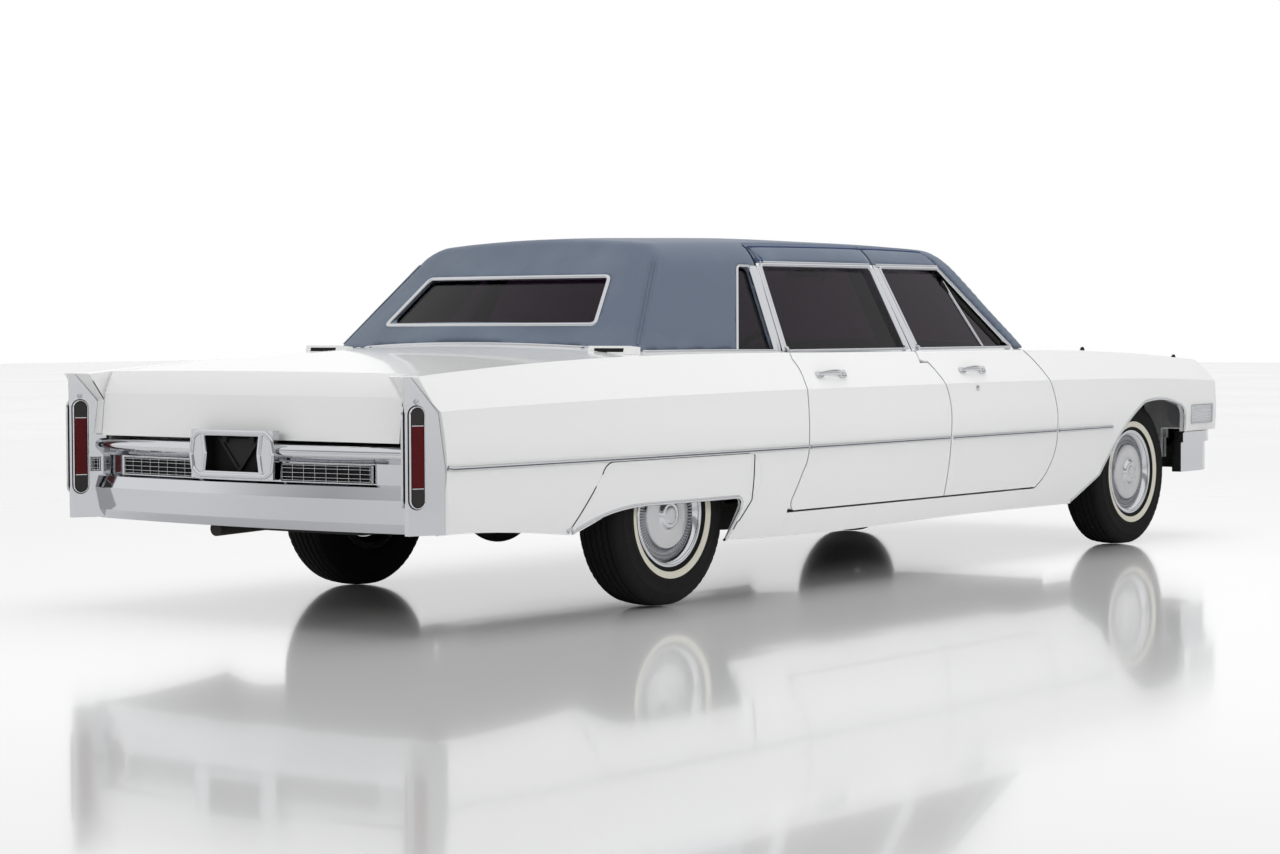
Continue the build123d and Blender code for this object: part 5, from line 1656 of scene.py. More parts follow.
@dataclass
class RoadWheel:
    """Tyre with a cream band, and the fluted bright cover over its wheel."""

    finishes: Finishes
    axle: Axle
    side: Side
    flutes: int = 84
    grooves: tuple[float, ...] = (-0.056, -0.028, 0.0, 0.028, 0.056)
    groove_half: float = 0.0035
    groove_depth: float = 0.0075

    def build(self) -> None:
        """Make the tyre and the cover."""
        self.word = f"{self.axle.name.lower()}_{self.side.word}"
        self.body = f"wheel_{self.word}"
        self.centre = Vector((self.axle.value, self.side.value * WHEEL_Y, HUB_Z))
        self.out = Vector((0.0, self.side.value, 0.0))
        self._tyre()
        self._cover()

    @staticmethod
    def _crown(out: float) -> float:
        """Radius of the tread at a place across the tyre."""
        return 0.3605 - 0.0075 * (out / 0.082) ** 2

    def _tread(self) -> list[tuple[float, float, int]]:
        """Profile of the tread from the outboard shoulder to the inboard one.

        Returns:
            Points of out, radius and material.
        """
        made: list[tuple[float, float, int]] = []
        for at in sorted(self.grooves, reverse=True):
            for out, deep in (
                (at + self.groove_half, 0.0), (at + self.groove_half * 0.7, 1.0),
                (at - self.groove_half * 0.7, 1.0), (at - self.groove_half, 0.0),
            ):
                made.append((out, self._crown(out) - deep * self.groove_depth, 0))
        return made

    def _tyre(self) -> None:
        """Tyre with ribs, sipes along its shoulders and a raised cream band outboard."""
        flank = [
            (0.078, 0.2000, 0), (0.0885, 0.2095, 0), (0.0950, 0.2140, 0), (0.0985, 0.2225, 0), (0.0995, 0.2235, 1),
            (0.1035, 0.2360, 1), (0.1060, 0.2485, 1), (0.1055, 0.2500, 0), (0.1070, 0.2640, 0), (0.1078, 0.2660, 0),
            (0.1065, 0.2680, 0), (0.1072, 0.2850, 0), (0.1045, 0.3080, 0), (0.1050, 0.3100, 0), (0.1030, 0.3120, 0),
            (0.0985, 0.3290, 0), (0.0925, 0.3420, 0), (0.0860, 0.3495, 0), (0.0790, 0.3535, 0),
        ]
        inner = [(-out, radius, 0) for out, radius, _ in reversed(flank)]
        profile = flank + self._tread() + inner
        zigzag = range(len(flank), len(profile) - len(inner))
        shoulders = (len(flank) - 3, len(flank) - 2, len(profile) - len(inner) + 1, len(profile) - len(inner) + 2)

        def wave(angle: float, k: int) -> Point:
            """Zigzag of the grooves and notches of the shoulders.

            Args:
                angle: Angle round the wheel.
                k: Which profile point.

            Returns:
                Shift along the axle and in radius.
            """
            beat = angle * 60 / (2 * math.pi) % 1.0
            if k in zigzag:
                return (0.0022 * (abs(beat * 4 - 2) - 1), 0.0)
            if k in shoulders:
                return (0.0, -0.0022 if beat < 0.3 else 0.0)
            return (0.0, 0.0)

        tyre = Maker.turn(
            f"ribbed_tyre_{self.word}", self.centre, self.out, profile, (
                self.finishes.rubber, self.finishes.band
            ), 360, wave
        )
        Forge.settle(tyre, self.body, "tyre_rubber", 40.0)
        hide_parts(f"tyre_{self.word}")

    def _cover(self) -> None:
        """Wheel cover: rolled rim, fluted dish, satin disc and a bare centre cap."""
        profile = [
            (0.0780, 0.2080, 0), (0.0895, 0.2085, 0), (0.0925, 0.2060, 0), (0.0930, 0.2010, 0), (0.0925, 0.1960, 0),
            (0.0900, 0.1930, 0), (0.0895, 0.1915, 1), (0.0800, 0.1850, 1), (0.0655, 0.1745, 1), (0.0610, 0.1640, 1),
            (0.0615, 0.1530, 1), (0.0650, 0.1420, 1), (0.0740, 0.1345, 2), (0.0790, 0.1325, 2), (0.0800, 0.1300, 2),
            (0.0812, 0.1000, 2), (0.0822, 0.0660, 2), (0.0835, 0.0610, 0), (0.0885, 0.0560, 0), (0.0940, 0.0520, 0),
            (0.0968, 0.0480, 0), (0.0972, 0.0370, 0), (0.0955, 0.0345, 2), (0.0972, 0.0310, 2), (0.0988, 0.0180, 2),
            (0.0992, 0.0001, 2),
        ]

        def wave(angle: float, k: int) -> Point:
            """Radial flutes in the dish."""
            deep = 0.0020 if 8 <= k <= 10 else 0.0010 if k == 7 else 0.0
            return (deep * math.cos(angle * self.flutes), 0.0)

        # Material 1, the fluted dish, takes the darkened chrome: painted dark reflection.
        cover = Maker.turn(
            f"wheel_cover_{self.word}", self.centre, self.out, profile,
            (self.finishes.chrome, self.finishes.dish, self.finishes.disc), self.flutes * 5, wave,
        )
        Forge.settle(cover, self.body, "bright_chrome", 40.0)


@dataclass
class TailEnd:
    """Lamp rings, rear grilles, plate housing and its bare bracket."""

    finishes: Finishes
    tail_x: float = -3.105
    blade_y: float = 0.874
    blade_half: float = 0.010
    pod_front: tuple[float, float] = (0.944, 0.795)
    pod_depth: float = 0.131
    lens_z: tuple[float, float] = (0.470, 0.817)
    lens_width: float = 0.046
    lens_out: float = 0.011
    lens_lines: tuple[float, float] = (0.535, 0.755)
    bow: float = 5.4
    grille_turn: float = 4.67
    grille_half: float = 0.210
    grille_z: tuple[float, float] = (0.541, 0.609)
    rows: int = 5
    columns: int = 9
    housing: tuple[float, float, float] = (0.203, 0.556, 0.715)
    hole: tuple[float, float, float] = (0.146, 0.566, 0.708)

    def build(self) -> None:
        """Make every piece of the tail."""
        for side in Side:
            for outer in (True, False):
                self._lamp(side, outer)
            self._pod_grille(side)
            self._bar_grille(side)
            self._return(side)
        self._plate_housing()

    def _face(self, side: Side, outer: bool) -> tuple[Vector, Vector, Vector]:
        """One face of a lamp pod.

        Args:
            side: Side of the car.
            outer: Whether it is the face away from the middle.

        Returns:
            Its corner on the blade at ground level, its direction forward, its outward normal.
        """
        sign = 1 if outer else -1
        start = Vector((self.tail_x, side.value * (self.blade_y + sign * self.blade_half), 0.0))
        end = Vector((self.tail_x + self.pod_depth, side.value * self.pod_front[0 if outer else 1], 0.0))
        along = (end - start).normalized()
        out = Vector((along.y, -along.x, 0.0)) * (sign * -side.value)
        return start, along, out

    def _lamp(self, side: Side, outer: bool) -> None:
        """Gasket, bright ring and divider lines of one lens, and a knob above it.

        Args:
            side: Side of the car.
            outer: Whether the lens is on the pod's outer face.
        """
        start, along, out = self._face(side, outer)
        word = f"{'outer' if outer else 'inner'}_{side.word}"
        low, high = self.lens_z
        half = self.lens_width / 2 + 0.004
        middle = start + along * (self.lens_width / 2 + 0.008)
        spots: list[Spot] = []
        for end, first in ((high - self.lens_width / 2, 0.0), (low + self.lens_width / 2, math.pi)):
            for i in range(17):
                turn = first + math.pi * i / 16
                spots.append(
                    (middle + along * (half * math.cos(turn)) + Vector((0, 0, end + half * math.sin(turn))), out)
                )
            far = low + self.lens_width / 2 if first == 0.0 else high - self.lens_width / 2
            for k in range(1, 12):
                level = end + (far - end) * k / 12
                spots.append((middle - along * (half * math.cos(first)) + Vector((0, 0, level)), out))
        gasket = Maker.sweep(f"lamp_gasket_{word}", spots, Section.crowned(0.0125, 0.006), self.finishes.black, True)
        Forge.settle(gasket, "body", "black_metal")
        ring = Maker.sweep(f"lamp_ring_{word}", spots, Section.crowned(0.0075, 0.0135), self.finishes.chrome, True)
        Forge.settle(ring, "body", "bright_chrome")
        lines = []
        for level in self.lens_lines:
            base = middle + out * (self.lens_out - 0.001) + Vector((0, 0, level))
            wide, tall = along * (self.lens_width / 2 - 0.001), Vector((0, 0, 0.0014))
            lines.append(
                Maker.slab(
                    [base - wide - tall, base + wide - tall, base + wide + tall, base - wide + tall], out * 0.002
                )
            )
        divider = Maker.join(f"lamp_lines_{word}", lines, self.finishes.chrome)
        Forge.settle(divider, "body", "bright_chrome")
        knob = (
            (-0.002, 0.0095, 0),
            (0.004, 0.0095, 0),
            (0.0065, 0.008, 0),
            (0.0075, 0.005, 0),
            (0.0095, 0.0042, 0),
            (0.0100, 0.0001, 0),
        )
        spot = middle + Vector((0, 0, high + 0.022))
        stud = Maker.turn(f"lamp_stud_{word}", spot, out, knob, (self.finishes.chrome,), 24)
        Forge.settle(stud, "body", "bright_chrome")

    def _return(self, side: Side) -> None:
        """Painted return of the quarter between the lid's side and the lamp pod, in line with the lid.

        Args:
            side: Side of the car.
        """
        lid = Skin("trunk_lid")
        rows: list[list[Spot]] = []
        for i in range(25):
            turn = math.radians(-4.0 + 96.0 * i / 24)
            way = Vector((math.cos(turn), 0.0, -math.sin(turn)))
            start = Vector((-2.945, side.value * 0.768, 0.700 if i == 0 else 0.800)) - way * 0.6
            spot, normal = lid.hit(start, way)
            last = self.blade_y - self.blade_half - 0.527 * (
                max(self.tail_x, min(spot.x, -2.974)) - self.tail_x
            ) - 0.003
            flat = Vector((normal.x, 0.0, normal.z)).normalized()
            row = [
                (Vector((spot.x, side.value * (0.7805 + (last - 0.7805) * k / 8), spot.z)) - flat * 0.002, flat)
                for k in range(9)
            ]
            rows.append(row)
        piece = Maker.lay(f"quarter_return_{side.word}", rows, self.finishes.paint, 0.0002, 0.012)
        Forge.settle(piece, "body", "white_paint", 50.0)
        line = ((0.013, 0.921), (0.109, 0.797), (0.133, 0.640), (0.300, 0.640), (0.300, 0.915))
        corners = [Vector((self.tail_x + x, side.value * 0.7835, z)) for x, z in line]
        slope = [Vector((self.tail_x + x, side.value * y, z)) for x, y, z in (
            (0.0115, 0.7835, 0.925), (0.1075, 0.7835, 0.7995), (0.1075, 0.9250, 0.7995), (0.0115, 0.9200, 0.925))]
        panels = [
            Maker.slab(corners, Vector((0.0, side.value * 0.012, 0.0))), Maker.slab(slope, Vector((0.004, 0.0, 0.003)))
        ]
        wall = Maker.join(f"fin_wall_{side.word}", panels, self.finishes.paint)
        Forge.settle(wall, "body", "white_paint")

    def _pod_grille(self, side: Side) -> None:
        """Short run of grille on a pod's inner face.

        Args:
            side: Side of the car.
        """
        start, along, out = self._face(side, False)

        def place(u: float, z: float) -> Vector:
            """Point on the pod's inner face."""
            return start + along * u + Vector((0, 0, z))

        self._crate(f"pod_grille_{side.word}", place, out, (0.068, 0.112), (0.546, 0.604), 5, 4, 0.0022, 0.002)

    def _bar_grille(self, side: Side) -> None:
        """Grille set in the bar's recess, in place of the plain lattice.

        Args:
            side: Side of the car.
        """
        turn = math.radians(self.grille_turn) * -side.value
        centre = Vector((self.tail_x + self.bow, 0.0, 0.0))
        back = Vector((-math.cos(turn), -math.sin(turn), 0.0))
        across = Vector((-math.sin(turn), math.cos(turn), 0.0))

        def place(u: float, z: float) -> Vector:
            """Point in the recess of the bar."""
            return centre + back * (self.bow - 0.0428) + across * u + Vector((0, 0, z))

        ends = (-self.grille_half, self.grille_half)
        crate = self._crate(
            f"tail_grille_{side.word}", place, back, ends, self.grille_z, self.rows, self.columns, 0.0035, 0.010
        )
        if side is Side.RIGHT:
            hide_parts("rear_grilles")

    def _crate(
        self,
        name: str,
        place: Callable[[float, float], Vector],
        out: Vector,
        ends: Point,
        levels: Point,
        rows: int,
        columns: int,
        bar: float,
        deep: float,
    ) -> bpy.types.Object:
        """Bright egg crate in a double border over a black back.

        Args:
            name: Name of the crate.
            place: Point at a place across and a height.
            out: Way the crate faces.
            ends: Its two ends across.
            levels: Its foot and head.
            rows: Level bars.
            columns: Upright bars.
            bar: Their thickness.
            deep: Their depth.

        Returns:
            The crate.
        """
        (left, right), (low, high) = ends, levels
        panel = [place(left, low), place(right, low), place(right, high), place(left, high)]
        back = Maker.join(f"{name}_back", [Maker.slab(panel, out * 0.001)], self.finishes.black)
        Forge.settle(back, "body", "black_metal")
        bars = []
        half = bar / 2
        for i in range(rows):
            z = low + half + (high - low - bar) * i / (rows - 1)
            bars.append(self._bar(place, out, (left, right), (z - half * 0.7, z + half * 0.7), deep))
        for i in range(columns):
            u = left + half + (right - left - bar) * i / (columns - 1)
            bars.append(self._bar(place, out, (u - half * 0.7, u + half * 0.7), (low, high), deep * 0.92))
        for edge in (0.0, 0.0055):
            a, b, c, d = left + edge, right - edge, low + edge, high - edge
            for spans in (
                ((a, b), (c, c + 0.0024)),
                ((a, b), (d - 0.0024, d)),
                ((a, a + 0.0024), (c, d)),
                ((b - 0.0024, b), (c, d)),
            ):
                bars.append(self._bar(place, out, *spans, deep * 1.15))
        crate = Maker.join(name, bars, self.finishes.chrome)
        return Forge.settle(crate, "body", "bright_chrome")

    @staticmethod
    def _bar(
        place: Callable[[float, float], Vector], out: Vector, across: Point, levels: Point, deep: float
    ) -> Solid:
        """One bar with a chamfered face.

        Args:
            place: Point at a place across and a height.
            out: Way it faces.
            across: Its two ends across.
            levels: Its foot and head.
            deep: How far it stands out.

        Returns:
            Points and faces.
        """
        (left, right), (low, high) = across, levels
        ease = min(right - left, high - low) * 0.22
        points = [place(u, z) for u, z in ((left, low), (right, low), (right, high), (left, high))]
        points += [p + out * (deep * 0.8) for p in points]
        inner = (
            (left + ease, low + ease),
            (right - ease, low + ease),
            (right - ease, high - ease),
            (left + ease, high - ease),
        )
        points += [place(u, z) + out * deep for u, z in inner]
        faces = [(3, 2, 1, 0), (8, 9, 10, 11)]
        for k in (0, 4):
            faces += [(k + i, k + (i + 1) % 4, k + 4 + (i + 1) % 4, k + 4 + i) for i in range(4)]
        return points, faces

    def _plate_housing(self) -> None:
        """Faceted bright frame round the plate's recess, near-black sheets painted as the recess's shade and a bare
        bracket.
        """
        x = self.tail_x + 0.008
        way = Vector((-1.0, 0.0, 0.0))
        wide, low, high = self.housing
        middle = (low + high) / 2
        outer = (
            (-wide, low + 0.02), (-wide - 0.010, middle), (-wide, high - 0.02), (-wide + 0.03, high),
            (wide - 0.03, high), (wide, high - 0.02), (wide + 0.010, middle), (wide, low + 0.02),
            (wide - 0.03, low), (-wide + 0.03, low),
        )
        line = Line.loop(outer, 0.012)
        ring = Maker.sweep(
            "plate_frame_outer",
            [(Vector((x, y, z)), way) for y, z in line],
            Section.crowned(0.020, 0.0085),
            self.finishes.chrome,
            True,
        )
        Forge.settle(ring, "body", "bright_chrome")
        hole, foot, head = self.hole
        pinch = hole - 0.012
        inner = ((-hole - 0.006, foot - 0.004), (-pinch - 0.006, middle), (-hole - 0.006, head + 0.004),
                 (hole + 0.006, head + 0.004), (pinch + 0.006, middle), (hole + 0.006, foot - 0.004))
        edge = Line.loop(inner, 0.008)
        lip = Maker.sweep(
            "plate_frame_inner",
            [(Vector((x, y, z)), way) for y, z in edge],
            Section.crowned(0.022, 0.006),
            self.finishes.chrome,
            True,
        )
        Forge.settle(lip, "body", "bright_chrome")
        self._recess(x, hole, foot, head)

    def _recess(self, x: float, hole: float, foot: float, head: float) -> None:
        """Near-black sheets on the recess's back and walls, painted shade of the recess, with a V-shaped bracket and
        two tabs.

        Args:
            x: Its place along the car.
            hole: Half the opening's width.
            foot: The opening's lower edge.
            head: The opening's upper edge.
        """
        deep = x + 0.0505
        wall = []
        a, b, c, d = -hole + 0.0005, hole - 0.0005, foot + 0.0005, head - 0.0005
        for corners, depth in (
            (((a, c), (b, c), (b, d), (a, d)), 0.0015), (((a, c), (a + 0.002, c), (a + 0.002, d), (a, d)), -0.050),
            (((b - 0.002, c), (b, c), (b, d), (b - 0.002, d)), -0.050),
            (((a, c), (b, c), (b, c + 0.002), (a, c + 0.002)), -0.050),
            (((a, d - 0.002), (b, d - 0.002), (b, d), (a, d)), -0.050),
        ):
            wall.append(Maker.slab([Vector((deep, y, z)) for y, z in corners], Vector((depth, 0.0, 0.0))))
        # Near-black sheets on the recess's back and four walls: painted shade of the recess.
        lining = Maker.join("plate_recess_lining", wall, self.finishes.black)
        Forge.settle(lining, "body", "black_metal")
        panel = Maker.slab(
            [
                Vector((deep - 0.0005, y, z))
                for y, z in ((-0.098, 0.690), (0.098, 0.690), (0.006, 0.575), (-0.006, 0.575))
            ],
            Vector((-0.006, 0.0, 0.0)),
        )
        pieces = [panel]
        for hand in (-1, 1):
            legs = ((hand * 0.112, 0.694), (hand * 0.098, 0.694), (0.0, 0.582), (0.0, 0.570), (hand * 0.004, 0.570))
            pieces.append(Maker.slab([Vector((deep - 0.006, y, z)) for y, z in legs], Vector((-0.007, 0.0, 0.0))))
            tab = ((hand * 0.060, 0.676), (hand * 0.084, 0.676), (hand * 0.084, 0.702), (hand * 0.060, 0.702))
            pieces.append(Maker.slab([Vector((deep - 0.006, y, z)) for y, z in tab], Vector((-0.012, 0.0, 0.0))))
        bracket = Maker.join("plate_bracket", pieces, self.finishes.bracket)
        Forge.settle(bracket, "body", "black_metal")


@dataclass
class FrontEnd:
    """Headlamp bezels and lenses, grille back and frame, cornering lamp frames."""

    finishes: Finishes
    nose_x: float = 3.025
    lamp_y: float = 0.775
    lamp_z: tuple[float, float] = (0.628, 0.778)
    lamp_r: float = 0.072
    grille: tuple[float, float, float] = (0.560, 0.570, 0.785)
    corner: tuple[float, float, float, float] = (2.704, 2.964, 0.594, 0.677)

    def build(self) -> None:
        """Make every piece of the nose."""
        for side in Side:
            for i, z in enumerate(self.lamp_z):
                self._headlamp(f"{i}_{side.word}", side, z)
            self._corner_lamp(side)
        self._grille()

    def _headlamp(self, word: str, side: Side, z: float) -> None:
        """Domed ribbed lens in a bright bezel.

        Args:
            word: Word in its name.
            side: Side of the car.
            z: Its height.
        """
        centre = Vector((self.nose_x - 0.004, side.value * self.lamp_y, z))
        ahead = Vector((1.0, 0.0, 0.0))
        r = self.lamp_r
        dome = [(0.0005 + 0.013 * (1 - (k / 10) ** 2), max(0.0001, (r - 0.004) * k / 10), 0) for k in range(10, -1, -1)]
        glass = Maker.turn(f"headlamp_lens_{word}", centre, ahead, dome, (self.finishes.lamp_glass,), 72)
        Forge.settle(glass, "body", "clear_lens", 60.0)
        rim = (
            (0.000, r - 0.004, 0),
            (0.010, r - 0.003, 0),
            (0.015, r + 0.001, 0),
            (0.015, r + 0.005, 0),
            (0.011, r + 0.010, 0),
            (0.002, r + 0.0115, 0),
        )
        bezel = Maker.turn(f"headlamp_bezel_{word}", centre, ahead, rim, (self.finishes.chrome,), 96)
        Forge.settle(bezel, "body", "bright_chrome")

    def _grille(self) -> None:
        """Black back behind the egg crate and a bright frame round it."""
        wide, low, high = self.grille
        x = self.nose_x - 0.0415
        panel = [Vector((x, y, z)) for y, z in ((-wide, low), (wide, low), (wide, high), (-wide, high))]
        back = Maker.join("grille_back", [Maker.slab(panel, Vector((-0.0015, 0.0, 0.0)))], self.finishes.black)
        Forge.settle(back, "body", "black_metal")
        corners = ((-wide, low), (wide, low), (wide, high), (-wide, high))
        skin = Skin("front_panel")
        spots = Line.even([skin.nose(y, z) for y, z in Line.loop(corners, 0.010, 0.012)], True)
        ring = Maker.sweep("grille_frame", spots, Section.grooved(0.022, 0.009), self.finishes.chrome, True)
        Forge.settle(ring, "body", "bright_chrome")
        middle = (low + high) / 2
        line = [
            (Vector((self.nose_x - 0.005, -wide + 2 * wide * k / 40, middle)), Vector((1.0, 0.0, 0.0)))
            for k in range(41)
        ]
        bar = Maker.sweep("grille_bar", line, Section.crowned(0.020, 0.009), self.finishes.chrome)
        Forge.settle(bar, "body", "bright_chrome")

    def _corner_lamp(self, side: Side) -> None:
        """Bright frame and ribs of the lamp in the fender's side.

        Args:
            side: Side of the car.
        """
        back, nose, low, high = self.corner
        skin = Skin(f"fender_{side.word}", "cornering_lamps")
        line = Line.loop(((back, low), (nose, low), (nose, high), (back, high)), 0.006, 0.004)
        spots = Line.even([skin.side(x, z, side) for x, z in line], True)
        ring = Maker.sweep(
            f"corner_lamp_frame_{side.word}", spots, Section.grooved(0.010, 0.006), self.finishes.chrome, True
        )
        Forge.settle(ring, "body", "bright_chrome")
        ribs = []
        for i in range(1, 5):
            z = low + (high - low) * i / 5
            ribs.append([skin.side(back + (nose - back) * k / 12, z, side) for k in range(13)])
        for i, spots in enumerate(ribs):
            rib = Maker.sweep(
                f"corner_lamp_rib_{i}_{side.word}",
                Line.even(spots),
                Section.crowned(0.0035, 0.003),
                self.finishes.chrome,
            )
            Forge.settle(rib, "body", "bright_chrome")


@dataclass
class Cabin:
    """Padded benches, steering wheel trim, instrument panel, inside mirror and armrests."""

    finishes: Finishes
    front_foot: float = 0.206
    rear_foot: float = -0.954
    half: float = 0.690
    channels: int = 12

    def build(self) -> None:
        """Make the cabin's pieces."""
        for word, foot in (("front", self.front_foot), ("rear", self.rear_foot)):
            seat = ((0.075, 0.385), (0.560, 0.385), (0.592, 0.470), (0.596, 0.560), (0.570, 0.600), (0.400, 0.606),
                    (0.180, 0.592), (0.130, 0.560))
            back = ((-0.004, 0.400), (0.080, 0.400), (0.150, 0.585), (0.112, 0.760), (0.058, 0.930), (0.030, 0.962),
                    (-0.030, 0.962), (-0.054, 0.930))
            lower = self._pad(f"{word}_seat_cushion", foot, seat)
            upper = self._pad(f"{word}_seat_back", foot, back)
            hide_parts(f"{word}_bench")
        self._panel()
        self._wheel_trim()
        self._mirror()
        for side in Side:
            self._armrest("front", 0.470, side)
            self._armrest("rear", -0.560, side)

    def _pad(self, name: str, foot: float, outline: Sequence[Point]) -> bpy.types.Object:
        """Crowned pad with sewn channels.

        Args:
            name: The piece's name.
            foot: Place of the bench's back foot.
            outline: Side-view corners from that foot.

        Returns:
            The pad.
        """
        line = [Vector(p) for p in Line.loop(outline, 0.035, 0.0, 0.025)]
        count = len(line)
        middle = sum(line, Vector((0.0, 0.0))) / count
        stations = 97
        points: list[Vector] = []
        for s in range(stations):
            share = s / (stations - 1) * 2 - 1
            end = max(0.0, (abs(share) - 0.955) / 0.045)
            pull = 0.030 * (1 - math.sqrt(max(0.0, 1 - end * end)))
            puff = 0.009 * abs(math.sin(math.pi * share * self.channels / 2)) ** 0.6
            crown = 0.006 * (1 - share * share)
            for k, here in enumerate(line):
                run = (line[(k + 1) % count] - line[k - 1]).normalized()
                out = Vector((run.y, -run.x))
                if out.dot(here - middle) < 0:
                    out = -out
                soft = max(0.0, out.x * 0.75 + out.y * 0.8)
                place = here + out * ((puff + crown) * min(1.0, soft) - 0.010 - pull)
                points.append(Vector((foot + place.x, share * self.half, place.y)))
        faces: list[tuple[int, ...]] = [
            tuple(reversed(range(count))), tuple(range((stations - 1) * count, stations * count))
        ]
        for s in range(stations - 1):
            here, there = s * count, (s + 1) * count
            faces += [(here + k, here + (k + 1) % count, there + (k + 1) % count, there + k) for k in range(count)]
        pad = Forge.mesh(name, points, faces, self.finishes.seat)
        return Forge.settle(pad, "body", "seat_cloth", 75.0)

    def _panel(self) -> None:
        """Bright strip and dials on the panel's face."""
        skin = Skin("dashboard")
        line = [skin.rear(y, 0.842) for y in [0.74 - 1.48 * k / 40 for k in range(41)]]
        strip = Maker.sweep("panel_strip", Line.even(line), Section.grooved(0.022, 0.006), self.finishes.chrome)
        Forge.settle(strip, "body", "cabin_plastic")
        for i, y in enumerate((0.290, 0.380, 0.470)):
            spot, normal = skin.rear(y, 0.890)
            ring = (
                (0.000, 0.034, 0),
                (0.008, 0.034, 0),
                (0.010, 0.031, 0),
                (0.006, 0.028, 1),
                (0.004, 0.020, 1),
                (0.004, 0.0001, 1),
            )
            dial = Maker.turn(f"panel_dial_{i}", spot, normal, ring, (self.finishes.chrome, self.finishes.black), 40)
            Forge.settle(dial, "body", "cabin_plastic")

    def _wheel_trim(self) -> None:
        """Bright hub cap on the steering wheel."""
        hub = Vector((0.811, 0.380, 0.880))
        back = Vector((-0.9, 0.0, 0.35)).normalized()
        cap = ((0.000, 0.046, 0), (0.016, 0.044, 0), (0.024, 0.036, 0), (0.028, 0.018, 0), (0.029, 0.0001, 0))
        knob = Maker.turn("steering_hub_cap", hub + back * 0.012, back, cap, (self.finishes.chrome,), 48)
        Forge.settle(knob, "body", "cabin_plastic")

    def _mirror(self) -> None:
        """Inside mirror on a stalk from the windscreen's header."""
        centre = Vector((0.640, 0.0, 1.330))
        pieces = []
        outline = [
            Vector((0.0, y, z)) + centre
            for y, z in Line.loop(((-0.105, -0.030), (0.105, -0.030), (0.098, 0.030), (-0.098, 0.030)), 0.018)
        ]
        pieces.append(Maker.slab(outline, Vector((0.020, 0.0, 0.004))))
        case = Maker.join("inside_mirror", pieces, self.finishes.black)
        Forge.settle(case, "body", "cabin_plastic")
        face = [centre + (p - centre) * 0.93 + Vector((-0.0012, 0.0, 0.0)) for p in outline]
        glass = Maker.join("inside_mirror_glass", [Maker.slab(face, Vector((0.002, 0.0, 0.0)))], self.finishes.mirror)
        Forge.settle(glass, "body", "bright_chrome")
        stalk = [
            (centre + Vector((0.012 + 0.004 * k, 0.0, 0.010 + 0.0105 * k)), Vector((1.0, 0.0, 0.0))) for k in range(11)
        ]
        post = Maker.sweep("inside_mirror_stalk", stalk, Section.round(0.007, 0.0, 10), self.finishes.chrome)
        Forge.settle(post, "body", "bright_chrome")

    def _armrest(self, word: str, x: float, side: Side) -> None:
        """Padded armrest on a door's inner panel.

        Args:
            word: Word in its name.
            x: Its place along the car.
            side: Side of the car.
        """
        body = f"door_{word}_{side.word}"
        points: list[Vector] = []
        faces: list[tuple[int, ...]] = []
        count, stations = 16, 15
        for s in range(stations):
            share = s / (stations - 1) * 2 - 1
            fat = (1 - abs(share) ** 5) ** 0.5 * 0.88 + 0.12
            for k in range(count):
                turn = 2 * math.pi * k / count
                y = 0.866 - 0.030 + 0.029 * fat * math.cos(turn)
                z = 0.690 + 0.026 * fat * math.sin(turn) + 0.012 * (1 - share * share)
                points.append(Vector((x + 0.170 * (share + 1), side.value * y, z)))
        for s in range(stations - 1):
            here, there = s * count, (s + 1) * count
            faces += [(here + k, here + (k + 1) % count, there + (k + 1) % count, there + k) for k in range(count)]
        faces += [tuple(range(count)), tuple(range((stations - 1) * count, stations * count))]
        rest = Forge.mesh(f"{body}_armrest", points, faces, self.finishes.seat)
        Forge.settle(rest, body, "seat_cloth", 60.0)


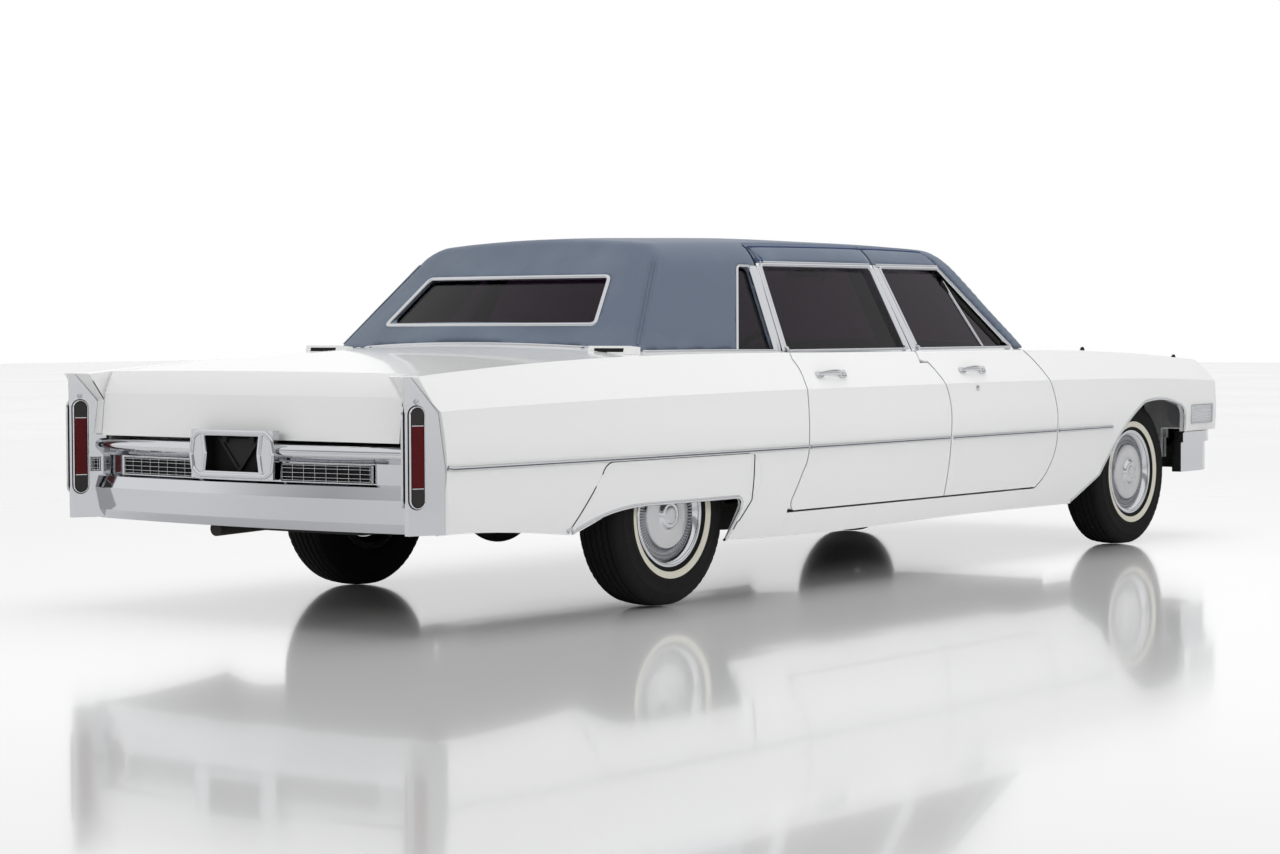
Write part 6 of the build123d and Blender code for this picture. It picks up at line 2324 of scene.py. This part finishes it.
class Dresser:
    """Gives every carried-over CAD node its finish."""

    def __init__(self, finishes: Finishes) -> None:
        """Match node slots to finishes.

        Args:
            finishes: The car's finishes.
        """
        self.by_slot = {
            "white_paint": finishes.paint,
            "roof_cloth": finishes.cloth,
            "tinted_glass": finishes.glass,
            "bright_chrome": finishes.chrome,
            "black_metal": finishes.under,
            "engine_iron": finishes.iron,
            "exhaust_steel": finishes.pipe,
            "tyre_rubber": finishes.rubber,
            "seat_cloth": finishes.seat,
            "cabin_plastic": finishes.trim,
            "red_lens": finishes.red,
            "clear_lens": finishes.clear_lens,
        }
        self.by_node = {f"door_{kind.value}_{side.word}": finishes.door for kind in DoorKind for side in Side}

    def dress(self) -> None:
        """Paint all nodes and smooth their curved faces."""
        for part in frame["record"]["subparts"]:
            thing = frame["nodes"][part["node"]]
            thing.data.materials.clear()
            thing.data.materials.append(self.by_node.get(part["node"], self.by_slot[part["material_slot"]]))
            thing.data.polygons.foreach_set("use_smooth", [True] * len(thing.data.polygons))
            thing.data.set_sharp_from_angle(angle=math.radians(30.0))


def main() -> None:
    """Build the classes in order."""
    logging.basicConfig(level=logging.INFO, format="%(name)s: %(message)s")
    finishes = Finishes()
    Dresser(finishes).dress()
    Studio().build()
    PaddedTop(finishes).build()
    for side in Side:
        DoorTrim(
            finishes, DoorKind.REAR, side,
            window=((-0.779, 0.999), (0.096, 0.999), (0.086, 1.345), (-0.714, 1.345)),
            plates=(
                ((-0.8057, 1.020), (-0.7780, 1.020), (-0.718, 1.347), (-0.739, 1.347)),
                ((0.099, 0.993), (0.142, 0.993), (0.128, 1.347), (0.089, 1.347)),
            ),
            strip=(-0.806, 0.298), handle_x=-0.696,
            header_back=(-0.814, -0.022, 0.004), header_nose=(0.152, -0.103, -0.012),
        ).build()
        DoorTrim(
            finishes, DoorKind.FRONT, side,
            window=((0.209, 0.999), (1.009, 0.999), (0.674, 1.345), (0.181, 1.345)),
            plates=(
                ((0.155, 0.993), (0.206, 0.993), (0.178, 1.347), (0.141, 1.347)),
                ((1.021, 0.993), (1.051, 0.993), (0.702, 1.347), (0.677, 1.347)),
            ),
            strip=(0.316, 1.247), handle_x=0.440,
            header_back=(0.152, -0.103, 0.004), header_nose=(1.054, -0.441, -0.006),
        ).build()
    BodyTrim(finishes).build()
    for axle in Axle:
        for side in Side:
            RoadWheel(finishes, axle, side).build()
    TailEnd(finishes).build()
    FrontEnd(finishes).build()
    Cabin(finishes).build()


if __name__ == "__main__":
    main()
